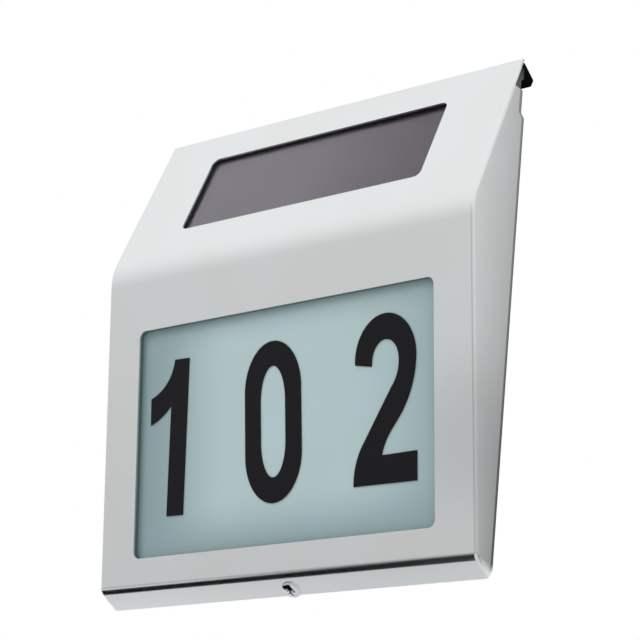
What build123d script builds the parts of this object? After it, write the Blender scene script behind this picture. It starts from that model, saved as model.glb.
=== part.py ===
"""Solar house number light: a bent stainless cover over a black inner housing, hung on a wall bracket.

Everything is drawn in the lamp's own frame, in millimetres: X to the right as seen from the front,
Y towards the wall, with y = 0 at the rear edge of the cover's side walls, and Z up, with z = 0 at the
bottom edge of the front face. Each piece is then moved, so that the part's origin is the centre of the
four wall holes, on the wall.
"""
from build123d import *
from math import cos, radians, sin, sqrt, tan
import os

# ---------------------------------------------------------------- cover: bent stainless sheet
WIDTH = 180.0                # over the side walls
SHEET = 0.8                  # sheet thickness
BOTTOM_DEPTH = 11.5          # rear edge of the side wall to the front face, at the bottom edge
FACE_LENGTH = 132.0          # bottom edge to the bend, along the front face
FACE_LEAN = 8.45             # degrees the face leans forward
SLOPE_LENGTH = 75.2          # bend to the top edge, along the slope
SLOPE_LEAN = 21.05           # degrees the slope leans back
BEND_RADIUS = 25.0           # outside, between face and slope
CHIN_LENGTH = 10.9           # bottom flange, front to rear
CHIN_ANGLE = 28.5            # degrees the bottom flange falls towards the wall
CHIN_RADIUS = 3.8            # outside, between face and bottom flange
EDGE_RADIUS = 1.4            # outside, between face and side wall
REAR_RADIUS = 1.6            # outside, between side wall and return flange
RETURN_WIDTH = 6.0           # return flange behind the side wall
SIDE_DROP = 13.75            # top edge of the sheet down to the top of the side wall
NOTCH_HEIGHT = 11.6          # top of the side wall down to the top of the return flange
NOTCH_DEPTH = 3.2            # the side wall stands back above the return flange
NOTCH_RISE = 1.8
CORNER_INSET = 1.2           # the ground bottom corner, drawn in over the flange's depth
CORNER_CUT = (0.6, 2.6)      # the corner's rear edge, forward and down from the side wall's foot

# ---------------------------------------------------------------- windows
NUMBER_FROM_SIDE = 17.6      # cover's side to the window
NUMBER_FROM_BOTTOM = 12.0    # bottom edge of the face to the window
NUMBER_FROM_BEND = 27.2      # window to the bend, along the face
SOLAR_FROM_SIDE = 30.2
SOLAR_FROM_BEND = 18.8       # bend to the window, along the slope
SOLAR_FROM_TOP = 15.2        # window to the top edge, along the slope
WINDOW_RADIUS = 3.0
NUMBER_SEAL = 1.9            # foam frame between the sheet and the number panel
SOLAR_SEAL = 1.1             # foam frame between the sheet and the solar panel
SEAL_SET_BACK = 0.25         # the foam's edge behind the window's edge
SEAL_INSET = 0.3             # the foam's outer edge inside the panel's
NUMBER_OVERLAP = 5.0         # how far a panel reaches behind the sheet
SOLAR_OVERLAP = 3.5
NUMBER_PANEL = 2.0           # frosted acrylic
SOLAR_GLASS = 0.6
SOLAR_CELL = 0.2
SOLAR_BACK = 0.8             # board behind the cell
CELL_OVERLAP = 1.4           # how far the cell reaches behind the sheet
CELL_CLEAR = 0.1             # cell to the edge of its pocket
DIGIT_HEIGHT = 64.0
DIGIT_THICKNESS = 0.5
ONE_FROM_SIDE = 19.9         # left side of the window to the middle of the digit's stem
ZERO_FROM_MIDDLE = -4.2      # middle of the window to the middle of the digit
TWO_FROM_SIDE = 23.6         # right side of the window to the middle of the digit
DIGIT_RISES = (1.2, 1.65, 4.1)  # middle of the window up to the middle of each digit
ONE_TURN = -1.4              # degrees each was stuck on askew
ZERO_TURN = 1.6

# ---------------------------------------------------------------- inner housing and its hook rail
HOUSING_CLEAR = 0.4          # to the edge of the return flange
HOUSING_WALL = 2.0
FRONT_WALL = 1.5             # housing wall behind the panels
HOUSING_BOTTOM = 8.0
WINDOW_CLEAR = 0.5           # the housing's window behind the cover's
PANEL_CLEAR = 0.3            # solar panel to the edge of its pocket
BACK_DROP = 0.8              # top of the return flange down to the back cover's top
BACK_FACE = 0.2              # back cover's outer face, in front of the rear edge
BACK_PLATE = 2.2
BACK_RADIUS = 2.0
BACK_SEAL = 0.8
NECK_DEPTH = 4.5             # rear face of the rail's ends below its underside
RAIL_GAP = 0.1               # rail to sheet and rail end to side
RAIL_FOOT = 0.2              # rail above the side wall
RAIL_RISE = 12.4             # top of the side wall up to the ridge, before it is rounded
RIDGE_RADIUS = 0.7
NOSE = (3.9, 7.8)            # rearmost corner: y, and height above the side wall
DRIP = (2.4, 4.4)            # lower corner
RAIL_UNDER = 5.0             # height of the rail's underside above the side wall
UNDER_FRONT = 2.75           # front end of that underside
SLOT_INSET = 13.0            # rail's end to the slot in its underside
SLOT_REAR = 0.1
SLOT_RISE = 2.5              # depth of the slot above the underside
LUG_SHARES = (0.2, 0.5, 0.8)  # heights of the snap lugs, as shares of the return flange's
LUG = (2.0, 10.0)            # reach beyond the housing's side, and height
LUG_CLEAR = 0.2              # lug to the back cover's edge

# ---------------------------------------------------------------- light box and lights
BOX_MARGIN = 2.0             # light box beyond the window, to the sides
BOX_GAP = 0.8                # case screw posts to the light box
BOX_ABOVE = 2.2              # light box above the housing's bottom wall's underside
BOX_OVER_WINDOW = 2.8
BOX_WALL = 1.0
BOX_CLEAR = 0.1
LED_BOARD_INSET = 4.2        # light box's inner wall to the strip
LED_BOARD_DEPTH = 8.0
LED_BOARD = 1.2
LED_Y = -12.0
LED_SIZE = (3.5, 2.8, 1.4)
LED_COUNT = 5
LED_BEVEL = 0.3

# ---------------------------------------------------------------- battery, its bay and door
BATTERY_DIAMETER = 14.5
BATTERY_LENGTH = 50.5        # with the positive nub
BATTERY_RADIUS = 0.6         # rounding of the can's ends
NUB = (2.75, 1.0)            # radius and length
BATTERY_CLEAR = 0.45         # battery to the bay's floor
BAY_FROM_SIDE = 7.4          # housing's side to the bay
BAY_LENGTH = 57.0
BAY_ABOVE_BOX = 12.5         # light box to the battery's middle
BAY_HEIGHT = 16.0
BAY_WALL = 1.4
BAY_DEPTH = 18.4             # back cover's outer face to the bay's floor
CONTACT = 0.4                # sheet of both contacts
CONTACT_GAP = 0.1
CONTACT_PLATE = (12.5, 10.0)  # square plates of the spring and of the other contact
TAB_WIDTH = 4.0
TAB_RISE = 15.0              # middle of the bay to the top of the spring's tab
TAB_STEP = 2.8               # the other tab stays below the first one's wire
TAB_FRONT = 6.5              # battery's axis to the tab's front edge
SOLDER_DROP = 1.2            # tab's top to the middle of its wire
SPRING_WIRE = 0.7
SPRING_RADIUS = 5.0
SPRING_CONE = 18.0           # degrees the spring narrows
SPRING_TURNS = 3
SPRING_WELD = 0.15           # the coil's foot sunk in its plate
DOOR_PLATE = 1.6
DOOR_LAP = 1.6               # door over the edge of the bay
DOOR_TONGUE = 6.2            # door past the bay, at the screw
DOOR_CLEAR = 0.2
DOOR_RADIUS = 1.2
DOOR_BOSS = (2.2, 6.5)       # radius and height behind the back cover
DOOR_SCREW_FROM_BAY = 3.0
GRIP_COUNT = 5
GRIP = (1.0, 2.4, 12.0, 0.5)  # groove width, pitch, length and depth

# ---------------------------------------------------------------- control board and switch
BOARD = (52.0, 26.0, 1.2)
BOARD_FROM_SIDE = 8.6        # housing's side to the board
BOARD_ABOVE_BOX = 12.5       # light box to the board's lower edge
BOARD_STANDOFF = 5.4
STANDOFF_INSET = 3.5
STANDOFF_RADIUS = 2.2
PIN = (0.9, 0.15, 0.8)       # locating pin: radius, clearance in the board, and height past the board
CHIP = (6.0, 5.0, 1.6)
COIL = (3.5, 4.5)            # radius and height
DIODE = (3.0, 5.0, 1.4)
CAPACITOR = (2.0, 5.4)
SWITCH_FROM_MIDDLE = 11.0    # board's middle to the switch
SWITCH_BODY = (12.0, 6.0)
SWITCH_TRAVEL = 2.6
KNOB = (3.6, 3.0)
KNOB_REACH = 1.0             # past the back cover's face
KNOB_FOOT = 1.0              # sunk in the switch body
KNOB_CLEAR = 0.2
KNOB_GROOVE = (0.5, 1.1, 0.4)  # width, pitch and depth
WIRE = 1.3                   # diameter over the insulation
WIRE_PITCH = 4.0
SOLAR_WIRE_FROM_MIDDLE = 10.0  # solar panel's middle down to its wires
SOLAR_WIRE_STRAIGHT = 4.0    # first stretch, square to the slope
WIRE_FROM_EDGE = 5.0         # control board's edge to where a wire is soldered
ARC_SHARE = 0.45             # share of the shorter run that a wire's bend may take

# ---------------------------------------------------------------- screws
CASE_SCREW = (1.2, 2.8, 1.3, 5.0)     # shank radius, head radius, head height, length
CASE_SCREW_INSET = 5.0       # housing's side to the screws
CASE_SCREW_SHARES = (0.042, 0.312, 0.576, 0.852)  # heights, as shares of the back cover's
CASE_SINK = 1.1              # counterbore under the head
POST_RADIUS = 3.2
DOOR_SCREW = (1.0, 2.1, 1.2, 6.0)
PAN_SHARE = 0.72             # rounding of a head's rim, as a share of its height
RECESS_LENGTH = 1.25         # cross recess, as shares of the head's radius and height
RECESS_WIDTH = 0.26
RECESS_DEPTH = 0.62
THREAD_CLEAR = 0.05          # a self-tapping screw in its pilot hole
PILOT_SPARE = 0.4            # pilot hole past the screw's tip
PASS_CLEAR = 0.4             # a screw in a through hole
LOCK_SCREW = (1.9, 3.8, 2.4, 12.6)
LOCK_X = 2.8                 # right of the middle
LOCK_HOLE = 2.25             # radius in the bottom flange
LOCK_THREAD = 2.1            # radius in the bracket's foot
LOCK_FROM_FACE = 7.7         # along the flange, from the face

# ---------------------------------------------------------------- wall bracket: stainless plate
WALL_GAP = 6.0               # rear edge of the side wall to the wall
PLATE = 2.0
STRIP_INSET = 15.0           # cover's side to the end of the upper strip
STRIP_HEIGHT = 20.5
STRIP_OVER = 3.1             # upper strip's top above the return flange
LOW_INSET = 22.0             # cover's side to the end of the lower strip
LOW_STRIP = (18.0, 38.0)     # heights of the lower strip
LEG_WIDTH = 28.0
LEG_TAIL = 6.0               # leg below the lower strip
LIP_Y = -1.6                 # middle of the hanging lip
FOOT_WIDTH = 18.0
FOOT_AT = 11.0               # middle of the foot, along the lock screw, from the flange
FOOT_REACH = 3.3             # foot past the screw's axis
FOOT_CLEAR = 2.5             # notch in the back cover, to each side of the foot
FOOT_NOTCH = 1.6             # and its height
FOLD_RADIUS = 1.2            # inside, at each fold
STRIP_RADIUS = 3.0
WALL_HOLE = 2.25             # radius
WALL_SLOT = 9.0              # end to end, along X
WALL_HOLE_INSET = 35.0       # cover's side to the middle of a slot
STRIP_HOLE = 10.0            # slot's middle above the strip's lower edge

# ---------------------------------------------------------------- derived places
HALF = WIDTH / 2
FAR = 2 * (FACE_LENGTH + SLOPE_LENGTH)     # past everything, for cutting
FACE_UP = (-sin(radians(FACE_LEAN)), cos(radians(FACE_LEAN)))
SLOPE_UP = (sin(radians(SLOPE_LEAN)), cos(radians(SLOPE_LEAN)))
CHIN_BACK = (cos(radians(CHIN_ANGLE)), -sin(radians(CHIN_ANGLE)))
CHIN_IN = (sin(radians(CHIN_ANGLE)), cos(radians(CHIN_ANGLE)))
FACE_FOOT = (-BOTTOM_DEPTH, 0.0)
BEND = (FACE_FOOT[0] + FACE_LENGTH * FACE_UP[0], FACE_LENGTH * FACE_UP[1])
TOP = (BEND[0] + SLOPE_LENGTH * SLOPE_UP[0], BEND[1] + SLOPE_LENGTH * SLOPE_UP[1])
CHIN_END = (FACE_FOOT[0] + CHIN_LENGTH * CHIN_BACK[0], CHIN_LENGTH * CHIN_BACK[1])
SIDE_TOP = TOP[1] - SIDE_DROP
RETURN_TOP = SIDE_TOP - NOTCH_HEIGHT
BACK_TOP = RETURN_TOP - BACK_DROP
HOUSING_TOP = SIDE_TOP - RAIL_FOOT
UNDER_TOP = SIDE_TOP + RAIL_UNDER
SLOT_TOP = UNDER_TOP + SLOT_RISE
NUMBER_WINDOW = (WIDTH - 2 * NUMBER_FROM_SIDE, FACE_LENGTH - NUMBER_FROM_BOTTOM - NUMBER_FROM_BEND)
SOLAR_WINDOW = (WIDTH - 2 * SOLAR_FROM_SIDE, SLOPE_LENGTH - SOLAR_FROM_BEND - SOLAR_FROM_TOP)
NUMBER_MIDDLE = NUMBER_FROM_BOTTOM + NUMBER_WINDOW[1] / 2
SOLAR_MIDDLE = SOLAR_FROM_BEND + SOLAR_WINDOW[1] / 2
NUMBER_DEPTH = SHEET + NUMBER_SEAL
SOLAR_DEPTH = SHEET + SOLAR_SEAL
FACE_STACK = NUMBER_DEPTH + NUMBER_PANEL
SLOPE_STACK = SOLAR_DEPTH + SOLAR_GLASS + SOLAR_CELL + SOLAR_BACK
HOUSING_HALF = HALF - RETURN_WIDTH - HOUSING_CLEAR
BACK_IN = -BACK_FACE - BACK_PLATE          # inner face of the back cover
RIM = BACK_IN - BACK_SEAL                  # rear rim of the housing
SLOT_HALF = HALF - SLOT_INSET
CASE_SCREW_X = HOUSING_HALF - CASE_SCREW_INSET
BOX_HALF = NUMBER_WINDOW[0] / 2 + BOX_MARGIN + BOX_GAP
BOX_BOTTOM = HOUSING_BOTTOM + BOX_ABOVE
BOX_TOP = (NUMBER_FROM_BOTTOM + NUMBER_WINDOW[1]) * FACE_UP[1] + BOX_OVER_WINDOW
LED_TOP = BOX_TOP - BOX_WALL - BOX_CLEAR
LED_HALF = BOX_HALF - BOX_WALL - LED_BOARD_INSET
BAY_X = (-HOUSING_HALF + BAY_FROM_SIDE, -HOUSING_HALF + BAY_FROM_SIDE + BAY_LENGTH)
BAY_Z = BOX_TOP + BAY_ABOVE_BOX
BAY_FRONT = -BACK_FACE - BAY_DEPTH
BATTERY_Y = BAY_FRONT + BATTERY_CLEAR + BATTERY_DIAMETER / 2
BATTERY_END = BAY_X[1] - CONTACT - CONTACT_GAP - BATTERY_LENGTH
DOOR_SCREW_X = BAY_X[0] - DOOR_SCREW_FROM_BAY
BOARD_X = HOUSING_HALF - BOARD_FROM_SIDE - BOARD[0] / 2
BOARD_Z = BOX_TOP + BOARD_ABOVE_BOX + BOARD[1] / 2
BOARD_REAR = BACK_IN - BOARD_STANDOFF
BOARD_FRONT = BOARD_REAR - BOARD[2]
SWITCH_X = BOARD_X - SWITCH_FROM_MIDDLE
SOLAR_WIRE_X = (BOARD_X + 7.0, BOARD_X + 7.0 + WIRE_PITCH)
LED_WIRE_X = (BOARD_X + 13.0, BOARD_X + 13.0 + WIRE_PITCH)
STRIP = (RETURN_TOP + STRIP_OVER - STRIP_HEIGHT, RETURN_TOP + STRIP_OVER)
HOLES_Z = (STRIP[0] + LOW_STRIP[0]) / 2 + STRIP_HOLE
TO_WALL = Pos(0, -WALL_GAP, -HOLES_Z)
FACE_PLANE = Plane(
    origin=(0, *FACE_FOOT), x_dir=(1, 0, 0), z_dir=(0, -cos(radians(FACE_LEAN)), -sin(radians(FACE_LEAN)))
)
SLOPE_PLANE = Plane(
    origin=(0, *BEND), x_dir=(1, 0, 0), z_dir=(0, -cos(radians(SLOPE_LEAN)), sin(radians(SLOPE_LEAN)))
)
LOCK_START = (FACE_FOOT[0] + LOCK_FROM_FACE * CHIN_BACK[0], LOCK_FROM_FACE * CHIN_BACK[1])
LOCK_PLANE = Plane(origin=(LOCK_X, *LOCK_START), x_dir=(1, 0, 0), z_dir=(0, *CHIN_IN))


# ---------------------------------------------------------------- helpers
def meet(p, along_p, q, along_q):
    """The point where two lines of the side view cross."""
    det = along_p[0] * -along_q[1] + along_q[0] * along_p[1]
    k = ((q[0] - p[0]) * -along_q[1] + along_q[0] * (q[1] - p[1])) / det
    return (p[0] + k * along_p[0], p[1] + k * along_p[1])


def step(p, along, distance):
    return (p[0] + along[0] * distance, p[1] + along[1] * distance)


def inward(along):
    """The normal of an upward line of the side view, pointing into the lamp."""
    return (along[1], -along[0])


def at_height(p, along, z):
    """The point of a line of the side view at a height."""
    return step(p, along, (z - p[1]) / along[1])


def skin(face_depth, slope_depth=None):
    """Corners of the side view a depth inside the cover: flange end, bottom bend, bend and top."""
    slope_depth = face_depth if slope_depth is None else slope_depth
    face = step(FACE_FOOT, inward(FACE_UP), face_depth)
    slope = step(BEND, inward(SLOPE_UP), slope_depth)
    chin = step(FACE_FOOT, CHIN_IN, face_depth)
    return [
        step(CHIN_END, CHIN_IN, face_depth),
        meet(chin, CHIN_BACK, face, FACE_UP),
        meet(face, FACE_UP, slope, SLOPE_UP),
        step(TOP, inward(SLOPE_UP), slope_depth),
    ]


def prism(points, half_width):
    """A side view outline, drawn out along X to both sides of the middle."""
    return extrude(Plane.YZ * make_face(Polyline(*points, close=True)), half_width, both=True)


def block(x, y, z):
    """A box from its lowest and highest x, y and z."""
    size = [pair[1] - pair[0] for pair in (x, y, z)]
    centre = [(pair[0] + pair[1]) / 2 for pair in (x, y, z)]
    return Pos(*centre) * Box(*size)


def around(middle, size):
    """Lowest and highest value of a size about its middle."""
    return (middle - size / 2, middle + size / 2)


def rod(x, z, y_rear, y_front, radius):
    """A round bar along Y."""
    return Plane(origin=(x, y_rear, z), z_dir=(0, -1, 0)) * Cylinder(
        radius, y_rear - y_front, align=(Align.CENTER, Align.CENTER, Align.MIN)
    )


def slab(plane, size, middle, depth, thickness, corner=WINDOW_RADIUS):
    """A rounded plate parallel to the face or slope, its front at a depth inside the cover."""
    outline = RectangleRounded(size[0], size[1], corner)
    return plane * Pos(0, middle, -depth - thickness) * extrude(outline, thickness)


def grown(size, margin):
    return (size[0] + 2 * margin, size[1] + 2 * margin)


def tube(points):
    """A wire along straight runs joined by arcs nearly as large as the runs allow."""
    runs = [Vector(*b) - Vector(*a) for a, b in zip(points, points[1:])]
    radii = []
    for first, second in zip(runs, runs[1:]):
        turn = radians(first.get_angle(second))
        radii.append(ARC_SHARE * min(first.length, second.length) / tan(turn / 2))
    path = FilletPolyline(*points, radius=radii)
    return sweep(Plane(origin=path @ 0, z_dir=path % 0) * Circle(WIRE / 2), path=path)


def screw(plane, size):
    """A pan head screw with a cross recess; its shank runs along the plane's normal from its origin."""
    shank_radius, head_radius, head_height, length = size
    shank = plane * extrude(Circle(shank_radius), length)
    head = plane * Pos(0, 0, -head_height) * extrude(Circle(head_radius), head_height)
    rim = head.edges().filter_by(GeomType.CIRCLE).sort_by(Axis(plane.origin, plane.z_dir))[0]
    head = fillet(rim, PAN_SHARE * head_height)
    arm = (RECESS_LENGTH * head_radius, RECESS_WIDTH * head_radius)
    cross = extrude(Rectangle(*arm) + Rectangle(arm[1], arm[0]), RECESS_DEPTH * head_height)
    return shank + head - plane * Pos(0, 0, -head_height) * cross


# ---------------------------------------------------------------- cover
def front_cover():
    """One bent sheet: face, slope, side walls, return flanges and bottom flange."""
    outline = FilletPolyline(
        *skin(0.0), (BOTTOM_DEPTH, TOP[1]), (BOTTOM_DEPTH, RETURN_TOP + NOTCH_RISE),
        (0, RETURN_TOP + NOTCH_RISE), (0, 0), (-CORNER_CUT[0], -CORNER_CUT[1]),
        radius=[0, CHIN_RADIUS, BEND_RADIUS, 0, 0, 0, 0, 0, 0], close=True,
    )
    cover = extrude(Plane.YZ * make_face(outline), HALF, both=True)
    cover = fillet(side_edges(cover, lambda p: abs(p.Y) < 0.01 and p.Z > 1), REAR_RADIUS)
    cover = fillet(side_edges(cover, near_skin), EDGE_RADIUS)
    for side in (-1, 1):
        cover -= corner_wedge(side)
    behind = behind_skin()
    cover -= behind & block((-WIDTH, WIDTH), (-FAR, FAR), (SIDE_TOP, FAR))
    cover -= prism([
        (FAR, RETURN_TOP), (0, RETURN_TOP), (-NOTCH_DEPTH, RETURN_TOP + NOTCH_RISE), (-NOTCH_DEPTH, FAR), (FAR, FAR),
    ], WIDTH)
    cover -= behind & inner_room()
    cover -= slab(FACE_PLANE, NUMBER_WINDOW, NUMBER_MIDDLE, -SHEET, 3 * SHEET)
    cover -= slab(SLOPE_PLANE, SOLAR_WINDOW, SOLAR_MIDDLE, -SHEET, 3 * SHEET)
    cover -= LOCK_PLANE * Pos(0, 0, -SHEET) * extrude(Circle(LOCK_HOLE), 3 * SHEET)
    return cover


def side_edges(shape, test):
    """Edges on the outer faces of the side walls whose middle passes a test."""
    return shape.edges().filter_by(lambda e: abs(abs(e.center().X) - HALF) < 0.01 and test(e.center()))


def near_skin(point):
    """Whether an edge's middle lies on the outside of the face, the slope or their bend."""
    on_face = (point.Y - FACE_FOOT[0]) * FACE_UP[1] - point.Z * FACE_UP[0]
    on_slope = (point.Y - BEND[0]) * SLOPE_UP[1] - (point.Z - BEND[1]) * SLOPE_UP[0]
    return point.Z > 1 and min(abs(on_face), abs(on_slope)) < 1.0 and on_face > -1 and on_slope > -1


def behind_skin():
    """All that lies behind the sheet's inner side, its bends rounded."""
    chin_end, chin, bend, top = skin(SHEET)
    outline = FilletPolyline(
        step(chin_end, CHIN_BACK, FAR / 4), chin, bend, step(top, SLOPE_UP, FAR / 8), (FAR, FAR), (FAR, -FAR / 4),
        radius=[0, CHIN_RADIUS - SHEET, BEND_RADIUS - SHEET, 0, 0, 0], close=True,
    )
    return extrude(Plane.YZ * make_face(outline), WIDTH, both=True)


def inner_room():
    """The room between the side walls, between the return flanges and above the bottom flange."""
    room, lip = HALF - SHEET, HALF - RETURN_WIDTH
    low_room = room - CORNER_INSET
    hollow = block((-room, room), (-FAR, -SHEET), (0, SIDE_TOP + 1))
    rear = hollow.edges().filter_by(Axis.Z).sort_by(Axis.Y)[-2:]
    hollow = fillet(rear, REAR_RADIUS - SHEET)
    hollow += block((-lip, lip), (-FAR, FAR), (-FAR, FAR))
    hollow += block((-room, room), (-FAR, FAR), (RETURN_TOP, SIDE_TOP + 1))
    hollow += block((-low_room, low_room), (-FAR, FAR), (-FAR, 0))
    return hollow


def corner_wedge(side):
    """What is ground off a bottom corner, outside a plane that leans in under the side wall."""
    reach = CHIN_LENGTH
    lean = CORNER_INSET / -CHIN_END[1]
    outline = Polyline(
        (side * HALF, 0), (side * (HALF - lean * reach), -reach), (side * (HALF + reach), -reach),
        (side * (HALF + reach), 0), close=True,
    )
    return extrude(Plane.XZ * make_face(outline), FAR, both=True)


# ---------------------------------------------------------------- panels and seals
def seal_frame(plane, window, middle, thickness, overlap):
    outer = slab(plane, grown(window, overlap - SEAL_INSET), middle, SHEET, thickness)
    return outer - slab(plane, grown(window, SEAL_SET_BACK), middle, 0, 2 * (SHEET + thickness))


def number_panel():
    size = grown(NUMBER_WINDOW, NUMBER_OVERLAP)
    return slab(FACE_PLANE, size, NUMBER_MIDDLE, NUMBER_DEPTH, NUMBER_PANEL)


def solar_glass():
    return slab(SLOPE_PLANE, grown(SOLAR_WINDOW, SOLAR_OVERLAP), SOLAR_MIDDLE, SOLAR_DEPTH, SOLAR_GLASS)


def solar_cell(margin=0.0, spare=0.0):
    """The silicon sheet, or the pocket for it when it is given a margin."""
    size = grown(SOLAR_WINDOW, CELL_OVERLAP + margin)
    top = SOLAR_DEPTH + SOLAR_GLASS
    return slab(SLOPE_PLANE, size, SOLAR_MIDDLE, top - spare, SOLAR_CELL + spare, WINDOW_RADIUS / 3)


def solar_board():
    """The board that carries the cell, with a shallow pocket for it."""
    size = grown(SOLAR_WINDOW, SOLAR_OVERLAP)
    board = slab(SLOPE_PLANE, size, SOLAR_MIDDLE, SOLAR_DEPTH + SOLAR_GLASS, SOLAR_CELL + SOLAR_BACK)
    return board - solar_cell(CELL_CLEAR, SOLAR_GLASS)


# ---------------------------------------------------------------- digits, drawn 64 high about their middle
def digit_one():
    """A narrow one with a curved flag, drawn about the middle of its stem."""
    outline = Polyline((4.25, 31.6), (4.25, -31.6), (-4.25, -31.6), (-4.25, 13.2))
    outline += ThreePointArc((-4.25, 13.2), (-9.4, 8.5), (-14.75, 5.75))
    outline += Line((-14.75, 5.75), (-15.1, 16.6))
    outline += ThreePointArc((-15.1, 16.6), (-6.3, 23.2), (-3.25, 31.6))
    outline += Line((-3.25, 31.6), (4.25, 31.6))
    return make_face(outline)


def oval(width, height, cap):
    """A tall ring outline: straight sides, with half an ellipse at each end."""
    straight = height / 2 - cap
    outline = EllipticalCenterArc((0, straight), width / 2, cap, start_angle=0, arc_size=180)
    outline += Line((-width / 2, straight), (-width / 2, -straight))
    outline += EllipticalCenterArc((0, -straight), width / 2, cap, start_angle=180, arc_size=180)
    outline += Line((width / 2, -straight), (width / 2, straight))
    return make_face(outline)


def digit_zero():
    return oval(27.5, 63.6, 19.4) - oval(12.2, 43.8, 14.0)


def digit_two():
    """Outer and inner half ellipse, a leaning stroke and a foot."""
    outline = EllipticalCenterArc((0.1, 15.0), 13.9, 17.3, start_angle=0, arc_size=180)
    outline += Polyline((-13.8, 15.0), (-13.75, 14.0), (-6.2, 12.6), (-6.1, 13.7))
    outline += EllipticalCenterArc((0.1, 13.7), 6.2, 8.6, start_angle=0, arc_size=180)
    outline += ThreePointArc((6.3, 13.7), (5.5, 8.6), (2.7, 3.5))
    outline += Line((2.7, 3.5), (-11.0, -18.0))
    outline += ThreePointArc((-11.0, -18.0), (-13.2, -23.4), (-14.3, -32.0))
    outline += Polyline((-14.3, -32.0), (14.3, -32.3), (14.3, -21.2), (-1.5, -21.4))
    outline += ThreePointArc((-1.5, -21.4), (0.0, -16.9), (2.9, -12.3))
    outline += Line((2.9, -12.3), (7.4, -6.5))
    outline += ThreePointArc((7.4, -6.5), (12.2, 3.6), (14.0, 15.0))
    return make_face(outline)


def digit(outline, x, rise, turn):
    """A digit plate on the number panel, its middle at x and a rise above the window's middle."""
    flat = scale(outline, DIGIT_HEIGHT / 64)
    at = Pos(x, NUMBER_MIDDLE + rise, -NUMBER_DEPTH) * Rot(0, 0, turn)
    return FACE_PLANE * at * extrude(flat, DIGIT_THICKNESS)


# ---------------------------------------------------------------- inner housing
def main_housing():
    """Black tub open to the rear, with the hook rail along its top."""
    front = skin(FACE_STACK, SLOPE_STACK)
    inner = skin(FACE_STACK + FRONT_WALL, SLOPE_STACK + FRONT_WALL)
    outer = prism([
        at_height(front[2], FACE_UP, HOUSING_BOTTOM), front[2], at_height(front[3], SLOPE_UP, HOUSING_TOP),
        (RIM, HOUSING_TOP), (RIM, HOUSING_BOTTOM),
    ], HOUSING_HALF)
    floor, roof = HOUSING_BOTTOM + HOUSING_WALL, BACK_TOP - HOUSING_WALL
    peak = meet(inner[3], SLOPE_UP, (RIM - 2 * HOUSING_WALL, 0), (0, 1))
    hollow = prism([
        at_height(inner[2], FACE_UP, floor), inner[2], peak, (RIM - HOUSING_WALL, peak[1]),
        (RIM - HOUSING_WALL, roof), (0, roof), (0, floor),
    ], HOUSING_HALF - HOUSING_WALL)
    tub = outer - hollow
    for x, z in case_screw_places():
        low_front, high_front = at_height(inner[2], FACE_UP, z), at_height(inner[3], SLOPE_UP, z)
        tub += rod(x, z, RIM, max(low_front[0], high_front[0]) - FRONT_WALL / 2, POST_RADIUS) & outer
    tub += hook_rail()
    for share in LUG_SHARES:
        lug = snap_lug(share * RETURN_TOP)
        tub += lug
        tub += mirror(lug, Plane.YZ)
    for x, z in case_screw_places():
        pilot_end = -BACK_FACE - CASE_SINK - CASE_SCREW[3] - PILOT_SPARE
        tub -= rod(x, z, 0, pilot_end, CASE_SCREW[0] + THREAD_CLEAR)
    tub -= slab(FACE_PLANE, grown(NUMBER_WINDOW, WINDOW_CLEAR), NUMBER_MIDDLE, 0, FACE_STACK + 2 * FRONT_WALL)
    room = grown(SOLAR_WINDOW, SOLAR_OVERLAP + PANEL_CLEAR)
    tub -= slab(SLOPE_PLANE, room, SOLAR_MIDDLE, 0, SLOPE_STACK)
    for x in SOLAR_WIRE_X:
        hole = SLOPE_PLANE * Pos(x, SOLAR_MIDDLE - SOLAR_WIRE_FROM_MIDDLE, -SLOPE_STACK)
        tub -= hole * Cylinder(WIRE, 4 * FRONT_WALL)
    return tub


def snap_lug(z):
    """Springy lug on the housing's side wall; its rear end catches in front of the return flange."""
    reach = HOUSING_HALF + LUG[0]
    root = block((HOUSING_HALF - HOUSING_WALL / 4, reach), (2 * RIM, RIM), around(z, LUG[1]))
    tip = block((HOUSING_HALF + LUG_CLEAR, reach), (RIM, -SHEET), around(z, LUG[1]))
    return root + tip


def hook_rail():
    """Full width rail behind the top of the slope; its slot hangs over the bracket's lip."""
    front = skin(SHEET + RAIL_GAP)
    foot = SIDE_TOP + RAIL_FOOT
    rail = prism([
        at_height(front[3], SLOPE_UP, foot), at_height(front[3], SLOPE_UP, SIDE_TOP + RAIL_RISE),
        (NOSE[0], SIDE_TOP + NOSE[1]), (DRIP[0], SIDE_TOP + DRIP[1]), (DRIP[0] - UNDER_TOP + SIDE_TOP + DRIP[1], UNDER_TOP),
        (-UNDER_FRONT, UNDER_TOP), (-NECK_DEPTH, UNDER_TOP - 1), (-NECK_DEPTH, foot),
    ], HALF - RAIL_GAP)
    ridge = rail.edges().filter_by(Axis.X).sort_by(Axis.Z)[-1]
    rail = fillet(ridge, RIDGE_RADIUS)
    for half, rear, top in ((HOUSING_HALF, -NECK_DEPTH, foot + 1), (SLOT_HALF, RIM, SLOT_TOP)):
        rail += prism([
            at_height(front[3], SLOPE_UP, HOUSING_TOP - 1), at_height(front[3], SLOPE_UP, top),
            (rear, top), (rear, HOUSING_TOP - 1),
        ], half)
    return rail - block((-SLOT_HALF, SLOT_HALF), (RIM, SLOT_REAR), (UNDER_TOP - SLOT_RISE, SLOT_TOP))


def case_screw_places():
    height = BACK_TOP - HOUSING_BOTTOM
    return [(side * CASE_SCREW_X, HOUSING_BOTTOM + share * height) for side in (-1, 1) for share in CASE_SCREW_SHARES]


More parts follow.
